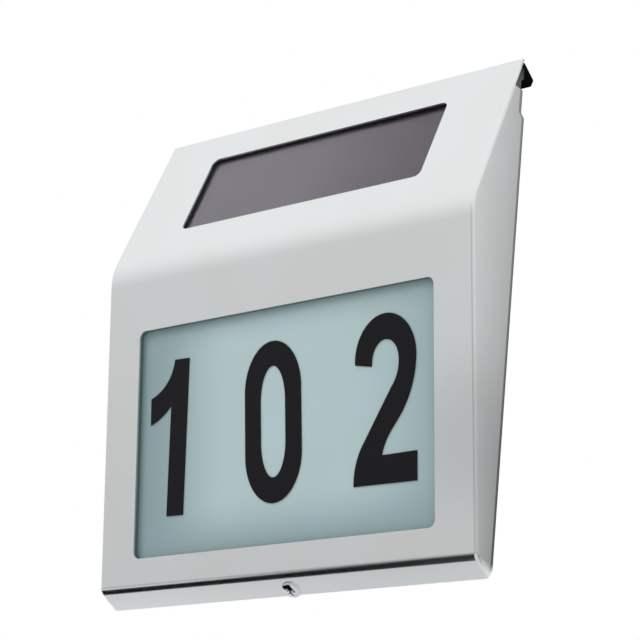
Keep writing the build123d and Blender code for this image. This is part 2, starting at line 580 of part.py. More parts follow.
def back_cover():
    """Rear plate with the battery bay, the switch slot and the board's standoffs."""
    outer = -BACK_FACE
    plate = block((-HOUSING_HALF, HOUSING_HALF), (BACK_IN, outer), (HOUSING_BOTTOM, BACK_TOP))
    plate = fillet(plate.edges().filter_by(Axis.Y), BACK_RADIUS)
    plate += rod(DOOR_SCREW_X, BAY_Z, outer, BACK_IN - DOOR_BOSS[1], DOOR_BOSS[0])
    plate += bay_block(BAY_WALL, outer)
    plate -= bay_block(0, 0)
    above_bay = BAY_Z + BAY_HEIGHT / 2
    for x, _, y in (spring_tab(), plus_tab()):
        slit = (above_bay - BAY_WALL, above_bay + 2 * BAY_WALL)
        plate -= block((x[0], x[1] + CONTACT_GAP), (y[0] - CONTACT_GAP, y[1] + CONTACT_GAP), slit)
    plate -= door_block(DOOR_CLEAR, 0)
    pilot_end = outer - DOOR_SCREW[3] - PILOT_SPARE
    plate -= rod(DOOR_SCREW_X, BAY_Z, 0, pilot_end, DOOR_SCREW[0] + THREAD_CLEAR)
    for x, z in case_screw_places():
        plate -= rod(x, z, 0, 2 * BACK_IN, CASE_SCREW[0] + PASS_CLEAR)
        plate -= rod(x, z, 0, outer - CASE_SINK, CASE_SCREW[1] + PASS_CLEAR)
    notch = FOOT_WIDTH + 2 * FOOT_CLEAR
    plate -= block(around(0, notch), (2 * BACK_IN, 0), around(HOUSING_BOTTOM, 2 * FOOT_NOTCH))
    slot = (KNOB[0] + SWITCH_TRAVEL + 2 * KNOB_CLEAR, KNOB[1] + 2 * KNOB_CLEAR)
    plate -= block(around(SWITCH_X, slot[0]), (2 * BACK_IN, 0), around(BOARD_Z, slot[1]))
    for x, z in standoff_places():
        plate += rod(x, z, outer, BOARD_REAR, STANDOFF_RADIUS)
        plate += rod(x, z, BOARD_REAR, BOARD_FRONT - PIN[2], PIN[0])
    return plate


def bay_block(wall, rear):
    """The battery bay, grown by its wall to the front and the sides."""
    return block(
        (BAY_X[0] - wall, BAY_X[1] + wall), (BAY_FRONT - wall, rear), around(BAY_Z, BAY_HEIGHT + 2 * wall)
    )


def standoff_places():
    dx, dz = BOARD[0] / 2 - STANDOFF_INSET, BOARD[1] / 2 - STANDOFF_INSET
    return [(BOARD_X + i * dx, BOARD_Z + j * dz) for i in (-1, 1) for j in (-1, 1)]


def back_seal():
    """Thin gasket on the housing's rim."""
    outside, inside = HOUSING_HALF - SEAL_INSET, HOUSING_HALF - HOUSING_WALL + SEAL_INSET
    low, high = HOUSING_BOTTOM + SEAL_INSET, BACK_TOP - SEAL_INSET
    band = HOUSING_WALL - 2 * SEAL_INSET
    ring = block((-outside, outside), (RIM, BACK_IN), (low, high))
    return ring - block((-inside, inside), (2 * RIM, 0), (low + band, high - band))


def case_screws():
    """Eight screws through the back cover into the housing's posts."""
    seat = -BACK_FACE - CASE_SINK
    return [screw(Plane(origin=(x, seat, z), z_dir=(0, -1, 0)), CASE_SCREW) for x, z in case_screw_places()]


# ---------------------------------------------------------------- light box
def light_box():
    """White tray behind the number panel that spreads the light."""
    front = step(FACE_FOOT, inward(FACE_UP), FACE_STACK + FRONT_WALL)
    ahead = step(FACE_FOOT, inward(FACE_UP), SHEET)
    rear = BACK_IN - BOX_CLEAR
    floor, roof = BOX_BOTTOM + BOX_WALL, BOX_TOP - BOX_WALL
    outer = prism([
        at_height(front, FACE_UP, BOX_BOTTOM), at_height(front, FACE_UP, BOX_TOP), (rear, BOX_TOP), (rear, BOX_BOTTOM),
    ], BOX_HALF)
    hollow = prism([
        at_height(ahead, FACE_UP, floor), at_height(ahead, FACE_UP, roof), (rear - BOX_WALL, roof),
        (rear - BOX_WALL, floor),
    ], BOX_HALF - BOX_WALL)
    tray = outer - hollow
    for x in LED_WIRE_X:
        tray -= Pos(x, LED_Y, BOX_TOP) * Cylinder(WIRE, 4 * BOX_WALL)
    return tray


def led_board():
    """Strip under the light box's roof."""
    return block((-LED_HALF, LED_HALF), around(LED_Y, LED_BOARD_DEPTH), (LED_TOP - LED_BOARD, LED_TOP))


def leds():
    """Surface-mounted white lights that shine down, spread evenly along the strip."""
    base = LED_TOP - LED_BOARD
    package = block(around(0, LED_SIZE[0]), around(LED_Y, LED_SIZE[1]), (base - LED_SIZE[2], base))
    package = chamfer(package.faces().sort_by(Axis.Z)[0].edges(), LED_BEVEL)
    pitch = 2 * LED_HALF / LED_COUNT
    return [Pos((index - (LED_COUNT - 1) / 2) * pitch, 0, 0) * package for index in range(LED_COUNT)]


# ---------------------------------------------------------------- battery and contacts
def battery():
    """One AA cell, its nub towards the middle of the lamp."""
    across = Plane(origin=(BATTERY_END, BATTERY_Y, BAY_Z), z_dir=(1, 0, 0))
    can = across * extrude(Circle(BATTERY_DIAMETER / 2), BATTERY_LENGTH - NUB[1])
    can = fillet(can.edges().filter_by(GeomType.CIRCLE), BATTERY_RADIUS)
    return can + across * extrude(Circle(NUB[0]), BATTERY_LENGTH)


def spring_tab():
    """Ranges of x, z and y of the tab of the negative contact, above the bay."""
    front = BATTERY_Y - TAB_FRONT
    return (BAY_X[0], BAY_X[0] + CONTACT), (BAY_Z, BAY_Z + TAB_RISE), (front, front + TAB_WIDTH)


def plus_tab():
    front = BATTERY_Y - TAB_FRONT + WIRE / 2
    return (BAY_X[1] - CONTACT, BAY_X[1]), (BAY_Z, BAY_Z + TAB_RISE - TAB_STEP), (front, front + TAB_WIDTH)


def battery_spring():
    """Negative contact: a plate against the end of the bay, with a cone spring."""
    x, z, y = spring_tab()
    side = CONTACT_PLATE[0]
    plate = block(x, around(BATTERY_Y, side), around(BAY_Z, side)) + block(x, y, z)
    start = x[1] + SPRING_WIRE / 2 - SPRING_WELD
    length = BATTERY_END - CONTACT_GAP - SPRING_WIRE / 2 - start
    path = Helix(
        pitch=length / SPRING_TURNS, height=length, radius=SPRING_RADIUS, center=(start, BATTERY_Y, BAY_Z),
        direction=(1, 0, 0), cone_angle=-SPRING_CONE,
    )
    return plate + sweep(Plane(origin=path @ 0, z_dir=path % 0) * Circle(SPRING_WIRE / 2), path=path, is_frenet=True)


def battery_contact():
    """Positive contact: a plate against the other end of the bay."""
    x, z, y = plus_tab()
    side = CONTACT_PLATE[1]
    return block(x, around(BATTERY_Y, side), around(BAY_Z, side)) + block(x, y, z)


def door_block(margin, rear):
    """The door's outline, grown by a margin, from its seat to a rear plane."""
    x = (BAY_X[0] - DOOR_TONGUE - margin, BAY_X[1] + DOOR_LAP + margin)
    plate = block(x, (-BACK_FACE - DOOR_PLATE, rear), around(BAY_Z, BAY_HEIGHT + 2 * (DOOR_LAP + margin)))
    return fillet(plate.edges().filter_by(Axis.Y), DOOR_RADIUS + margin)


def battery_door():
    """Flush lid over the bay, held by one screw at its outer end."""
    door = door_block(0, -BACK_FACE)
    door -= rod(DOOR_SCREW_X, BAY_Z, 0, -BACK_FACE - 2 * DOOR_PLATE, DOOR_SCREW[0] + THREAD_CLEAR)
    for index in range(GRIP_COUNT):
        x = BAY_X[1] - (index + 2.5) * GRIP[1]
        door -= block(around(x, GRIP[0]), around(-BACK_FACE, 2 * GRIP[3]), around(BAY_Z, GRIP[2]))
    return door


def door_screw():
    return screw(Plane(origin=(DOOR_SCREW_X, -BACK_FACE, BAY_Z), z_dir=(0, -1, 0)), DOOR_SCREW)


# ---------------------------------------------------------------- control board and switch
def control_board():
    board = block(around(BOARD_X, BOARD[0]), (BOARD_FRONT, BOARD_REAR), around(BOARD_Z, BOARD[1]))
    for x, z in standoff_places():
        board -= rod(x, z, 0, 2 * BOARD_FRONT, PIN[0] + PIN[1])
    return board


def on_board(size, x, z):
    """A flat component on the front of the board."""
    return block(around(BOARD_X + x, size[0]), (BOARD_FRONT - size[2], BOARD_FRONT), around(BOARD_Z + z, size[1]))


def charge_controller():
    return on_board(CHIP, -BOARD[0] / 26, BOARD[1] / 7)


def diode():
    return on_board(DIODE, BOARD[0] / 9, -BOARD[1] / 4)


def charge_coil():
    return rod(BOARD_X + BOARD[0] / 4.3, BOARD_Z, BOARD_FRONT, BOARD_FRONT - COIL[1], COIL[0])


def capacitors():
    places = [BOARD_X - BOARD[0] / 9, BOARD_X + BOARD[0] / 52]
    return [rod(x, BOARD_Z - BOARD[1] / 4, BOARD_FRONT, BOARD_FRONT - CAPACITOR[1], CAPACITOR[0]) for x in places]


def switch_body():
    rear = BACK_IN - CONTACT_GAP
    body = block(around(SWITCH_X, SWITCH_BODY[0]), (BOARD_REAR, rear), around(BOARD_Z, SWITCH_BODY[1]))
    slot = (KNOB[0] + SWITCH_TRAVEL + 2 * KNOB_CLEAR, KNOB[1] + 2 * KNOB_CLEAR)
    floor = rear - KNOB_FOOT - KNOB_CLEAR / 2
    return body - block(around(SWITCH_X, slot[0]), (floor, 0), around(BOARD_Z, slot[1]))


def switch_knob():
    """Slider at the end of its slot where the light is on."""
    x = SWITCH_X - SWITCH_TRAVEL / 2
    tip = -BACK_FACE + KNOB_REACH
    knob = block(around(x, KNOB[0]), (BACK_IN - CONTACT_GAP - KNOB_FOOT, tip), around(BOARD_Z, KNOB[1]))
    width, pitch, depth = KNOB_GROOVE
    for index in (-1, 0, 1):
        knob -= block(around(x + index * pitch, width), around(tip, 2 * depth), around(BOARD_Z, 2 * KNOB[1]))
    return knob


# ---------------------------------------------------------------- wires
def solar_wires():
    """From the solar board through the housing to the top of the control board."""
    foot = step(BEND, SLOPE_UP, SOLAR_MIDDLE - SOLAR_WIRE_FROM_MIDDLE)
    start = step(foot, inward(SLOPE_UP), SLOPE_STACK)
    turn = step(start, inward(SLOPE_UP), SOLAR_WIRE_STRAIGHT)
    low = BOARD_Z + BOARD[1] / 2 - WIRE_FROM_EDGE
    return [tube([(x, *start), (x, *turn), (x, turn[0], low), (x, BOARD_FRONT, low)]) for x in SOLAR_WIRE_X]


def led_wires():
    """From the light strip up to the bottom of the control board."""
    low = BOARD_Z - BOARD[1] / 2 + WIRE_FROM_EDGE / 2
    return [tube([(x, LED_Y, LED_TOP), (x, LED_Y, low), (x, BOARD_FRONT, low)]) for x in LED_WIRE_X]


def battery_wires():
    """From the contacts' tabs, over the bay, to the left edge of the control board."""
    end = BOARD_X - BOARD[0] / 2 + WIRE_FROM_EDGE
    group = []
    for tab in (spring_tab(), plus_tab()):
        y, z = sum(tab[2]) / 2, tab[1][1] - SOLDER_DROP
        group.append(tube([(tab[0][1], y, z), (end, y, z), (end, BOARD_FRONT, z)]))
    return group


# ---------------------------------------------------------------- bracket and lock screw
def wall_bracket():
    """Folded plate: a foot for the lock screw, a leg, two strips with slots, and a hanging lip."""
    middle = WALL_GAP - PLATE / 2
    foot = step(LOCK_START, CHIN_IN, FOOT_AT)
    heel = meet(foot, CHIN_BACK, (middle, 0), (0, 1))
    neck = (LIP_Y, STRIP[1] + middle - LIP_Y)
    profile = [step(foot, CHIN_BACK, -FOOT_REACH), heel, (middle, STRIP[1]), neck, (LIP_Y, SLOT_TOP)]
    top, low = WIDTH - 2 * STRIP_INSET, WIDTH - 2 * LOW_INSET
    tail = LOW_STRIP[0] - LEG_TAIL
    outline = block(around(0, top), (-FAR, FAR), (STRIP[0], FAR))
    for width, heights in ((low, LOW_STRIP), (LEG_WIDTH, (tail, STRIP[0])), (FOOT_WIDTH, (-FAR, tail))):
        outline += block(around(0, width), (-FAR, FAR), heights)
    plate = folded_sheet(profile, PLATE, FOLD_RADIUS, top / 2) & outline
    corners = [e for e in plate.edges().filter_by(Axis.Y) if is_strip_corner(e.center(), top / 2, low / 2)]
    plate = fillet(corners, STRIP_RADIUS)
    for x in (-HALF + WALL_HOLE_INSET, HALF - WALL_HOLE_INSET):
        for z in (LOW_STRIP[0] + STRIP_HOLE, STRIP[0] + STRIP_HOLE):
            slot = extrude(SlotOverall(WALL_SLOT, 2 * WALL_HOLE), 2 * PLATE, both=True)
            plate -= Plane(origin=(x, middle, z), x_dir=(1, 0, 0), z_dir=(0, -1, 0)) * slot
    return plate - LOCK_PLANE * Pos(0, 0, FOOT_AT) * Cylinder(LOCK_THREAD, 4 * PLATE)


def is_strip_corner(point, top_half, low_half):
    """Outer corners of both strips, but not of the lip."""
    outer = min(abs(abs(point.X) - top_half), abs(abs(point.X) - low_half)) < 0.01
    return outer and point.Z < STRIP[1] - STRIP_RADIUS


def folded_sheet(middle, thickness, fold, half_width):
    """A sheet folded along the side view's middle line."""
    ways = [(b[0] - a[0], b[1] - a[1]) for a, b in zip(middle, middle[1:])]
    normals = [(-dz / sqrt(dy * dy + dz * dz), dy / sqrt(dy * dy + dz * dz)) for dy, dz in ways]
    sides, radii = [], []
    for sign in (-1, 1):
        shift = sign * thickness / 2
        lines = [(step(a, n, shift), way) for a, n, way in zip(middle, normals, ways)]
        side = [lines[0][0]]
        side += [meet(p[0], p[1], q[0], q[1]) for p, q in zip(lines, lines[1:])]
        side.append(step(middle[-1], normals[-1], shift))
        turns = [first[0] * second[1] - first[1] * second[0] for first, second in zip(ways, ways[1:])]
        bends = [fold if turn * sign > 0 else fold + thickness for turn in turns]
        sides.append(side if sign < 0 else side[::-1])
        radii += [0, *(bends if sign < 0 else bends[::-1]), 0]
    outline = FilletPolyline(*sides[0], *sides[1], radius=radii, close=True)
    return extrude(Plane.YZ * make_face(outline), half_width, both=True)


def lock_screw():
    """Pan head screw up through the bottom flange into the bracket's foot."""
    return screw(LOCK_PLANE, LOCK_SCREW)


# ---------------------------------------------------------------- writing
def save(node, shape):
    export_step(TO_WALL * shape, f"parts/{node}.step")


def save_each(node, shapes):
    for number, shape in enumerate(shapes, 1):
        save(f"{node}_{number}", shape)


def main():
    os.makedirs("parts", exist_ok=True)
    save("front_cover", front_cover())
    save("number_seal", seal_frame(FACE_PLANE, NUMBER_WINDOW, NUMBER_MIDDLE, NUMBER_SEAL, NUMBER_OVERLAP))
    save("number_panel", number_panel())
    side = NUMBER_WINDOW[0] / 2
    save("digit_one", digit(digit_one(), -side + ONE_FROM_SIDE, DIGIT_RISES[0], ONE_TURN))
    save("digit_zero", digit(digit_zero(), ZERO_FROM_MIDDLE, DIGIT_RISES[1], ZERO_TURN))
    save("digit_two", digit(digit_two(), side - TWO_FROM_SIDE, DIGIT_RISES[2], 0))
    save("solar_seal", seal_frame(SLOPE_PLANE, SOLAR_WINDOW, SOLAR_MIDDLE, SOLAR_SEAL, SOLAR_OVERLAP))
    save("solar_glass", solar_glass())
    save("solar_cell", solar_cell())
    save("solar_board", solar_board())
    save("main_housing", main_housing())
    save("back_cover", back_cover())
    save("back_seal", back_seal())
    save_each("case_screw", case_screws())
    save("light_box", light_box())
    save("led_board", led_board())
    save_each("led", leds())
    save("battery", battery())
    save("battery_spring", battery_spring())
    save("battery_contact", battery_contact())
    save("battery_door", battery_door())
    save("door_screw", door_screw())
    save("control_board", control_board())
    save("charge_controller", charge_controller())
    save("charge_coil", charge_coil())
    save("diode", diode())
    save_each("capacitor", capacitors())
    save("switch_body", switch_body())
    save("switch_knob", switch_knob())
    save_each("solar_wire", solar_wires())
    save_each("led_wire", led_wires())
    save_each("battery_wire", battery_wires())
    save("wall_bracket", wall_bracket())
    save("lock_screw", lock_screw())


main()
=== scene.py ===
# %% [markdown]
# # A solar house number light, dressed for its photograph
# The solids of this lamp are already exact: a bent stainless cover, a black inner housing, a wall plate
# and everything between them. This lesson gives them their surfaces, adds the small things that a
# milling-style model leaves out, and sets up the studio. All lengths are metres, X points right as
# seen from the front, Y points to the wall and Z points up. The origin is on the wall, in the middle
# of the four wall slots.

import math

import bpy
from mathutils import Euler, Matrix, Vector


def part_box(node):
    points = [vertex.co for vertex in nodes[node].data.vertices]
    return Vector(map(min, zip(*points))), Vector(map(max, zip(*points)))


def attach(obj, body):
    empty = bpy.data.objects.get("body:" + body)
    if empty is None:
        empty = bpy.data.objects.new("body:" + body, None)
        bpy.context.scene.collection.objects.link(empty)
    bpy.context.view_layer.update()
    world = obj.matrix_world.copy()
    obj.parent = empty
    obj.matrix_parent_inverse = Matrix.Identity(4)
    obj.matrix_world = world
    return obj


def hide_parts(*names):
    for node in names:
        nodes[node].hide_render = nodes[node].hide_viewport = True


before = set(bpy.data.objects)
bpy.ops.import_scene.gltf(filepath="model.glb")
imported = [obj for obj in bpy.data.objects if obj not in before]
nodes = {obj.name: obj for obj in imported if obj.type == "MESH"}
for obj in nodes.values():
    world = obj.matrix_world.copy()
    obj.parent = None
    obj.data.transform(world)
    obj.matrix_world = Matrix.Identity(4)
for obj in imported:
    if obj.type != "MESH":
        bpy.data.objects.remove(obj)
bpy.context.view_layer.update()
MM = 0.001

# %% [markdown]
# ## Two small helpers for materials
# A shader works in linear light, while a listed colour is an sRGB hex value, so one function
# translates. A material is a net of nodes: one function adds a node, sets its properties and connects
# its inputs. Everything below is written with these two.

# %% Colour and node helpers
def linear(hex_colour):
    """An sRGB hex colour as the linear RGBA that shaders work in."""
    channels = [int(hex_colour[i : i + 2], 16) / 255 for i in (1, 3, 5)]
    return [c / 12.92 if c <= 0.04045 else ((c + 0.055) / 1.055) ** 2.4 for c in channels] + [1.0]


def add(tree, kind, inputs=None, **settings):
    """Add one node; settings are its properties, inputs are values or sockets to connect."""
    node = tree.nodes.new(kind)
    for name, value in settings.items():
        setattr(node, name, value)
    for name, value in (inputs or {}).items():
        if isinstance(value, bpy.types.NodeSocket):
            tree.links.new(value, node.inputs[name])
        else:
            node.inputs[name].default_value = value
    return node


def new_material(name):
    """An empty material and its node tree."""
    material = bpy.data.materials.new(name)
    material.use_nodes = True
    material.node_tree.nodes.clear()
    return material, material.node_tree


def paint(slot_name, material):
    """Give every solid of one material slot its finish."""
    painted = [n for n, o in nodes.items() if slot_name in {m.name for m in o.data.materials if m}]
    for name in painted:
        for own_slot in nodes[name].material_slots:
            own_slot.material = material
    print(material.name, "on", ", ".join(painted))


# %% [markdown]
# ## The lamp's two sloping planes
# The number window and the solar window lie on planes that lean. A Mapping node of the Texture kind
# takes a point into such a plane: X runs across, Z up along the sheet and Y into the lamp. The lean and
# the foot of each plane are the same numbers that the solids were drawn with.

# %% Places on the lamp
FACE_FOOT = Vector((0, -17.5, -98.0)) * MM       # bottom edge of the front face
FACE_LEAN = math.radians(8.45)                   # the face leans forward
SLOPE_FOOT = Vector((0, -36.9, 32.57)) * MM      # bend between face and slope
SLOPE_LEAN = math.radians(-21.05)                # the slope leans back
FLANGE_LEAN = math.radians(28.5)                 # the bottom flange falls towards the wall
REAR_EDGE = -6 * MM                              # the side walls end here, off the wall
SIDE_TOP = 89.0 * MM                             # and here, under the rail's ends
RETURN_TOP = 77.4 * MM                           # above this the side walls stand further forward
leans = [round(math.degrees(lean), 2) for lean in (FACE_LEAN, SLOPE_LEAN, FLANGE_LEAN)]
print("face, slope and flange lean by", leans, "degrees")


def in_plane(tree, foot, lean):
    """Object coordinates measured in a leaning plane."""
    place = add(tree, "ShaderNodeTexCoord").outputs["Object"]
    turned = {"Vector": place, "Location": foot, "Rotation": (lean, 0, 0)}
    return add(tree, "ShaderNodeMapping", turned, vector_type="TEXTURE").outputs[0]


# %% [markdown]
# ## Satin stainless steel
# The cover is bent from 0.8 mm stainless sheet. Rolling and a light linishing leave very fine parallel
# lines, so it mirrors its surroundings softly. It is a metal: all of its look is reflection. The lines
# run across the face, and after folding they run front to rear on the side walls, so the noise that
# draws them is stretched along X on the face and along Y on the sides. Real lines are about 0.05 mm
# apart, which no picture of a whole lamp shows; they are drawn 0.5 mm apart and very faint. A second,
# 45 mm wide noise gives slight warm and cool clouds in the colour. Three marks are painted into the
# colour. The side walls are painted darker from the face to the rear fold, and darker still towards
# their foot: painted shade. The last millimetres before that fold are painted dark, a painted reflection
# of the room behind, where the sheet starts to curve. A round place low on the right of the face is
# painted darker.

# %% Stainless steel material
DARKER_SPOT = Vector((88, -26, -54)) * MM
SPOT_INNER, SPOT_OUTER = 5 * MM, 42 * MM       # darkest up to here, and not darkened from here on
SHADE_DEPTH = 27 * MM                             # painted shade darkens the side walls over this depth
FOOT_SHADE = 0.24                               # and at their foot by this much more
FOLD_FROM, FOLD_TO = 2.9 * MM, 2.3 * MM          # the painted dark band at the fold fades in between these, off the rear edge
NOTCH_RISE, NOTCH_SHIFT = 1.8 * MM, 2.4 * MM     # above the return flange it moves forward


def stainless(name, colour, clouded, roughness, rear_shade_level=1.0, spot_darkness=1.0, fold=(1.0, 1.0)):
    material, tree = new_material(name)
    coordinates = add(tree, "ShaderNodeTexCoord")
    place = coordinates.outputs["Object"]
    on_side = add(tree, "ShaderNodeSeparateXYZ", {0: coordinates.outputs["Normal"]}).outputs["X"]
    on_side = add(tree, "ShaderNodeMath", {0: on_side, 1: on_side}, operation="MULTIPLY").outputs[0]
    fine, along = 1 / (0.5 * MM), 1 / (45 * MM)
    face_grain = add(tree, "ShaderNodeMapping", {"Vector": place, "Scale": (along, fine, fine)}).outputs[0]
    side_grain = add(tree, "ShaderNodeMapping", {"Vector": place, "Scale": (fine, along, fine)}).outputs[0]
    grain = {0: on_side, 4: face_grain, 5: side_grain}
    grain = add(tree, "ShaderNodeMix", grain, data_type="VECTOR").outputs[1]
    lines = add(tree, "ShaderNodeTexNoise", {"Vector": grain, "Scale": 1, "Detail": 3}).outputs["Fac"]
    clouds = add(tree, "ShaderNodeTexNoise", {"Vector": place, "Scale": along, "Detail": 1}).outputs["Fac"]
    tint = add(
        tree, "ShaderNodeMix", {0: clouds, 6: linear(colour), 7: linear(clouded)}, data_type="RGBA"
    ).outputs[2]
    _, rearward, height = add(tree, "ShaderNodeSeparateXYZ", {0: place}).outputs
    # painted shade: the side walls are darker towards the rear and towards their foot
    shade_by_height = {"Value": height, "From Min": FACE_FOOT.z, "From Max": 0.0, "To Min": rear_shade_level - FOOT_SHADE}
    shade_by_height = add(tree, "ShaderNodeMapRange", {**shade_by_height, "To Max": rear_shade_level}).outputs[0]
    painted_wall_shade = {"Value": rearward, "From Min": REAR_EDGE - SHADE_DEPTH, "From Max": REAR_EDGE, "To Min": 1.0}
    painted_wall_shade = add(tree, "ShaderNodeMapRange", {**painted_wall_shade, "To Max": shade_by_height}).outputs[0]
    # painted reflection: a dark band on the last millimetres before the rear fold, darkest low down
    dark_fold = {"Value": height, "From Min": FACE_FOOT.z, "From Max": SIDE_TOP, "To Min": fold[0]}
    dark_fold = add(tree, "ShaderNodeMapRange", {**dark_fold, "To Max": fold[1]}).outputs[0]
    notch = {"Value": height, "From Min": RETURN_TOP, "From Max": RETURN_TOP + NOTCH_RISE}
    notch = add(tree, "ShaderNodeMapRange", {**notch, "To Max": NOTCH_SHIFT}).outputs[0]
    on_fold = add(tree, "ShaderNodeMath", {0: rearward, 1: notch}, operation="ADD").outputs[0]
    on_fold = {"Value": on_fold, "From Min": REAR_EDGE - FOLD_FROM, "From Max": REAR_EDGE - FOLD_TO}
    on_fold = {**on_fold, "To Min": 1.0, "To Max": dark_fold}
    on_fold = add(tree, "ShaderNodeMapRange", on_fold).outputs[0]
    painted_wall_shade = add(tree, "ShaderNodeMath", {0: painted_wall_shade, 1: on_fold}, operation="MULTIPLY").outputs[0]
    walls = {"Value": height, "From Min": FACE_FOOT.z - 3 * MM, "From Max": FACE_FOOT.z}
    walls = add(tree, "ShaderNodeMapRange", walls).outputs[0]
    walls = add(tree, "ShaderNodeMath", {0: walls, 1: on_side}, operation="MULTIPLY").outputs[0]
    painted_wall_shade = add(tree, "ShaderNodeMix", {0: walls, 2: 1.0, 3: painted_wall_shade}, data_type="FLOAT").outputs[0]
    # a round place low on the right of the face is painted darker
    spot_darkening = {0: place, 1: DARKER_SPOT}
    spot_darkening = add(tree, "ShaderNodeVectorMath", spot_darkening, operation="DISTANCE").outputs["Value"]
    spot_darkening = {"Value": spot_darkening, "From Min": SPOT_INNER, "From Max": SPOT_OUTER, "To Min": spot_darkness}
    spot_darkening = add(tree, "ShaderNodeMapRange", spot_darkening, interpolation_type="SMOOTHSTEP").outputs[0]
    painted_darkening = add(tree, "ShaderNodeMath", {0: painted_wall_shade, 1: spot_darkening}, operation="MULTIPLY").outputs[0]
    tint = add(tree, "ShaderNodeVectorMath", {0: tint, "Scale": painted_darkening}, operation="SCALE").outputs[0]
    gloss = {"Value": lines, "To Min": roughness - 0.03, "To Max": roughness + 0.05}
    gloss = add(tree, "ShaderNodeMapRange", gloss).outputs[0]
    relief = {"Height": lines, "Strength": 0.25, "Distance": 0.01 * MM}
    relief = add(tree, "ShaderNodeBump", relief).outputs[0]
    steel = {"Base Color": tint, "Metallic": 1.0, "Roughness": gloss, "Normal": relief}
    steel = add(tree, "ShaderNodeBsdfPrincipled", steel).outputs[0]
    add(tree, "ShaderNodeOutputMaterial", {"Surface": steel})
    return material


# the last three numbers set the painted shade of the side walls, the darker spot and the painted dark band
# at the fold
satin_stainless = stainless("satin_stainless_sheet", "#f2f5f7", "#eeeeec", 0.2, 0.72, 0.84, (0.25, 0.5))
rolled_stainless = stainless("rolled_stainless_plate", "#cfd1d2", "#c9c8c6", 0.32)
paint("stainless_sheet", satin_stainless)
paint("bracket_steel", rolled_stainless)

# %% [markdown]
# ## Small metal parts
# The lock screw is chrome plated: bright, slightly blue and nearly a mirror. The case screws are zinc
# plated steel, duller, with a fine mottle from the bath. The battery contacts are nickel plated spring
# steel, a little yellow. One recipe does all three: a metal whose colour and gloss vary with a noise of
# about 1 mm.

# %% Plated metal materials
def plated(name, colour, worn, roughness, spread):
    material, tree = new_material(name)
    place = add(tree, "ShaderNodeTexCoord").outputs["Object"]
    mottle = add(tree, "ShaderNodeTexNoise", {"Vector": place, "Scale": 1 / MM, "Detail": 4}).outputs["Fac"]
    tint = add(
        tree, "ShaderNodeMix", {0: mottle, 6: linear(colour), 7: linear(worn)}, data_type="RGBA"
    ).outputs[2]
    gloss = {"Value": mottle, "To Min": roughness, "To Max": roughness + spread}
    gloss = add(tree, "ShaderNodeMapRange", gloss).outputs[0]
    metal = {"Base Color": tint, "Metallic": 1.0, "Roughness": gloss}
    metal = add(tree, "ShaderNodeBsdfPrincipled", metal).outputs[0]
    add(tree, "ShaderNodeOutputMaterial", {"Surface": metal})
    return material


chrome_plate = plated("chrome_plated_steel", "#e9ebee", "#dfe2e6", 0.06, 0.05)
zinc_plate = plated("zinc_plated_steel", "#c3c6ca", "#aeb1b6", 0.28, 0.18)
nickel_plate = plated("nickel_plated_spring_steel", "#cfc9bb", "#bdb6a6", 0.22, 0.15)
paint("chrome_screw", chrome_plate)
paint("steel_screw", zinc_plate)
paint("contact_steel", nickel_plate)

# %% [markdown]
# ## Frosted acrylic
# The number panel is 2 mm acrylic with a frosted face and a faint green-blue cast. Unlit, it looks
# brightest in the middle, where the white tray behind it sends light back, and greyer towards the frame,
# where the sheet keeps light off the tray. That light and shade are painted into the colour, since the
# falloff belongs to the panel's place in the lamp: a painted falloff worked out from the place on the
# face, which on each side runs from where it would be fullest to where the panel is clear of it.
# Frosting is a fine sandblast: grains of 0.1 mm, drawn at 0.3 mm so that they just soften the gloss.

# %% Frosted acrylic material
frosted_acrylic, tree = new_material("frosted_acrylic")
place = in_plane(tree, FACE_FOOT, FACE_LEAN)
across, _, up = add(tree, "ShaderNodeSeparateXYZ", {0: place}).outputs
lit = 1.0
# painted light and shade: brightest in the middle, painted greyer towards the frame
for distance, greyest, clear in (
    # place on the face, and where the falloff begins and ends, in mm
    (across, -68, -25),
    (across, 100, 25),
    (up, 112, 92),
    (up, 8, 34),
):
    fall = {"Value": distance, "From Min": greyest * MM, "From Max": clear * MM}
    fall = add(tree, "ShaderNodeMapRange", fall, interpolation_type="SMOOTHSTEP").outputs[0]
    lit = add(tree, "ShaderNodeMath", {0: fall, 1: lit}, operation="MULTIPLY").outputs[0]
cast = {"Vector": place, "Scale": 1 / (38 * MM), "Detail": 1}
cast = add(tree, "ShaderNodeTexNoise", cast).outputs["Fac"]
middle_tint = add(
    tree, "ShaderNodeMix", {0: cast, 6: linear("#b9cdd2"), 7: linear("#b2c8c7")}, data_type="RGBA"
).outputs[2]
tint = add(
    tree, "ShaderNodeMix", {0: lit, 6: linear("#8fa5a8"), 7: middle_tint}, data_type="RGBA"
).outputs[2]
grain = {"Vector": place, "Scale": 1 / (0.3 * MM), "Detail": 2}
grain = add(tree, "ShaderNodeTexNoise", grain).outputs["Fac"]
relief = {"Height": grain, "Strength": 0.15, "Distance": 0.01 * MM}
relief = add(tree, "ShaderNodeBump", relief).outputs[0]
acrylic = {"Base Color": tint, "Roughness": 0.42, "IOR": 1.49, "Normal": relief}
acrylic = add(tree, "ShaderNodeBsdfPrincipled", acrylic).outputs[0]
add(tree, "ShaderNodeOutputMaterial", {"Surface": acrylic})
paint("frosted_acrylic", frosted_acrylic)
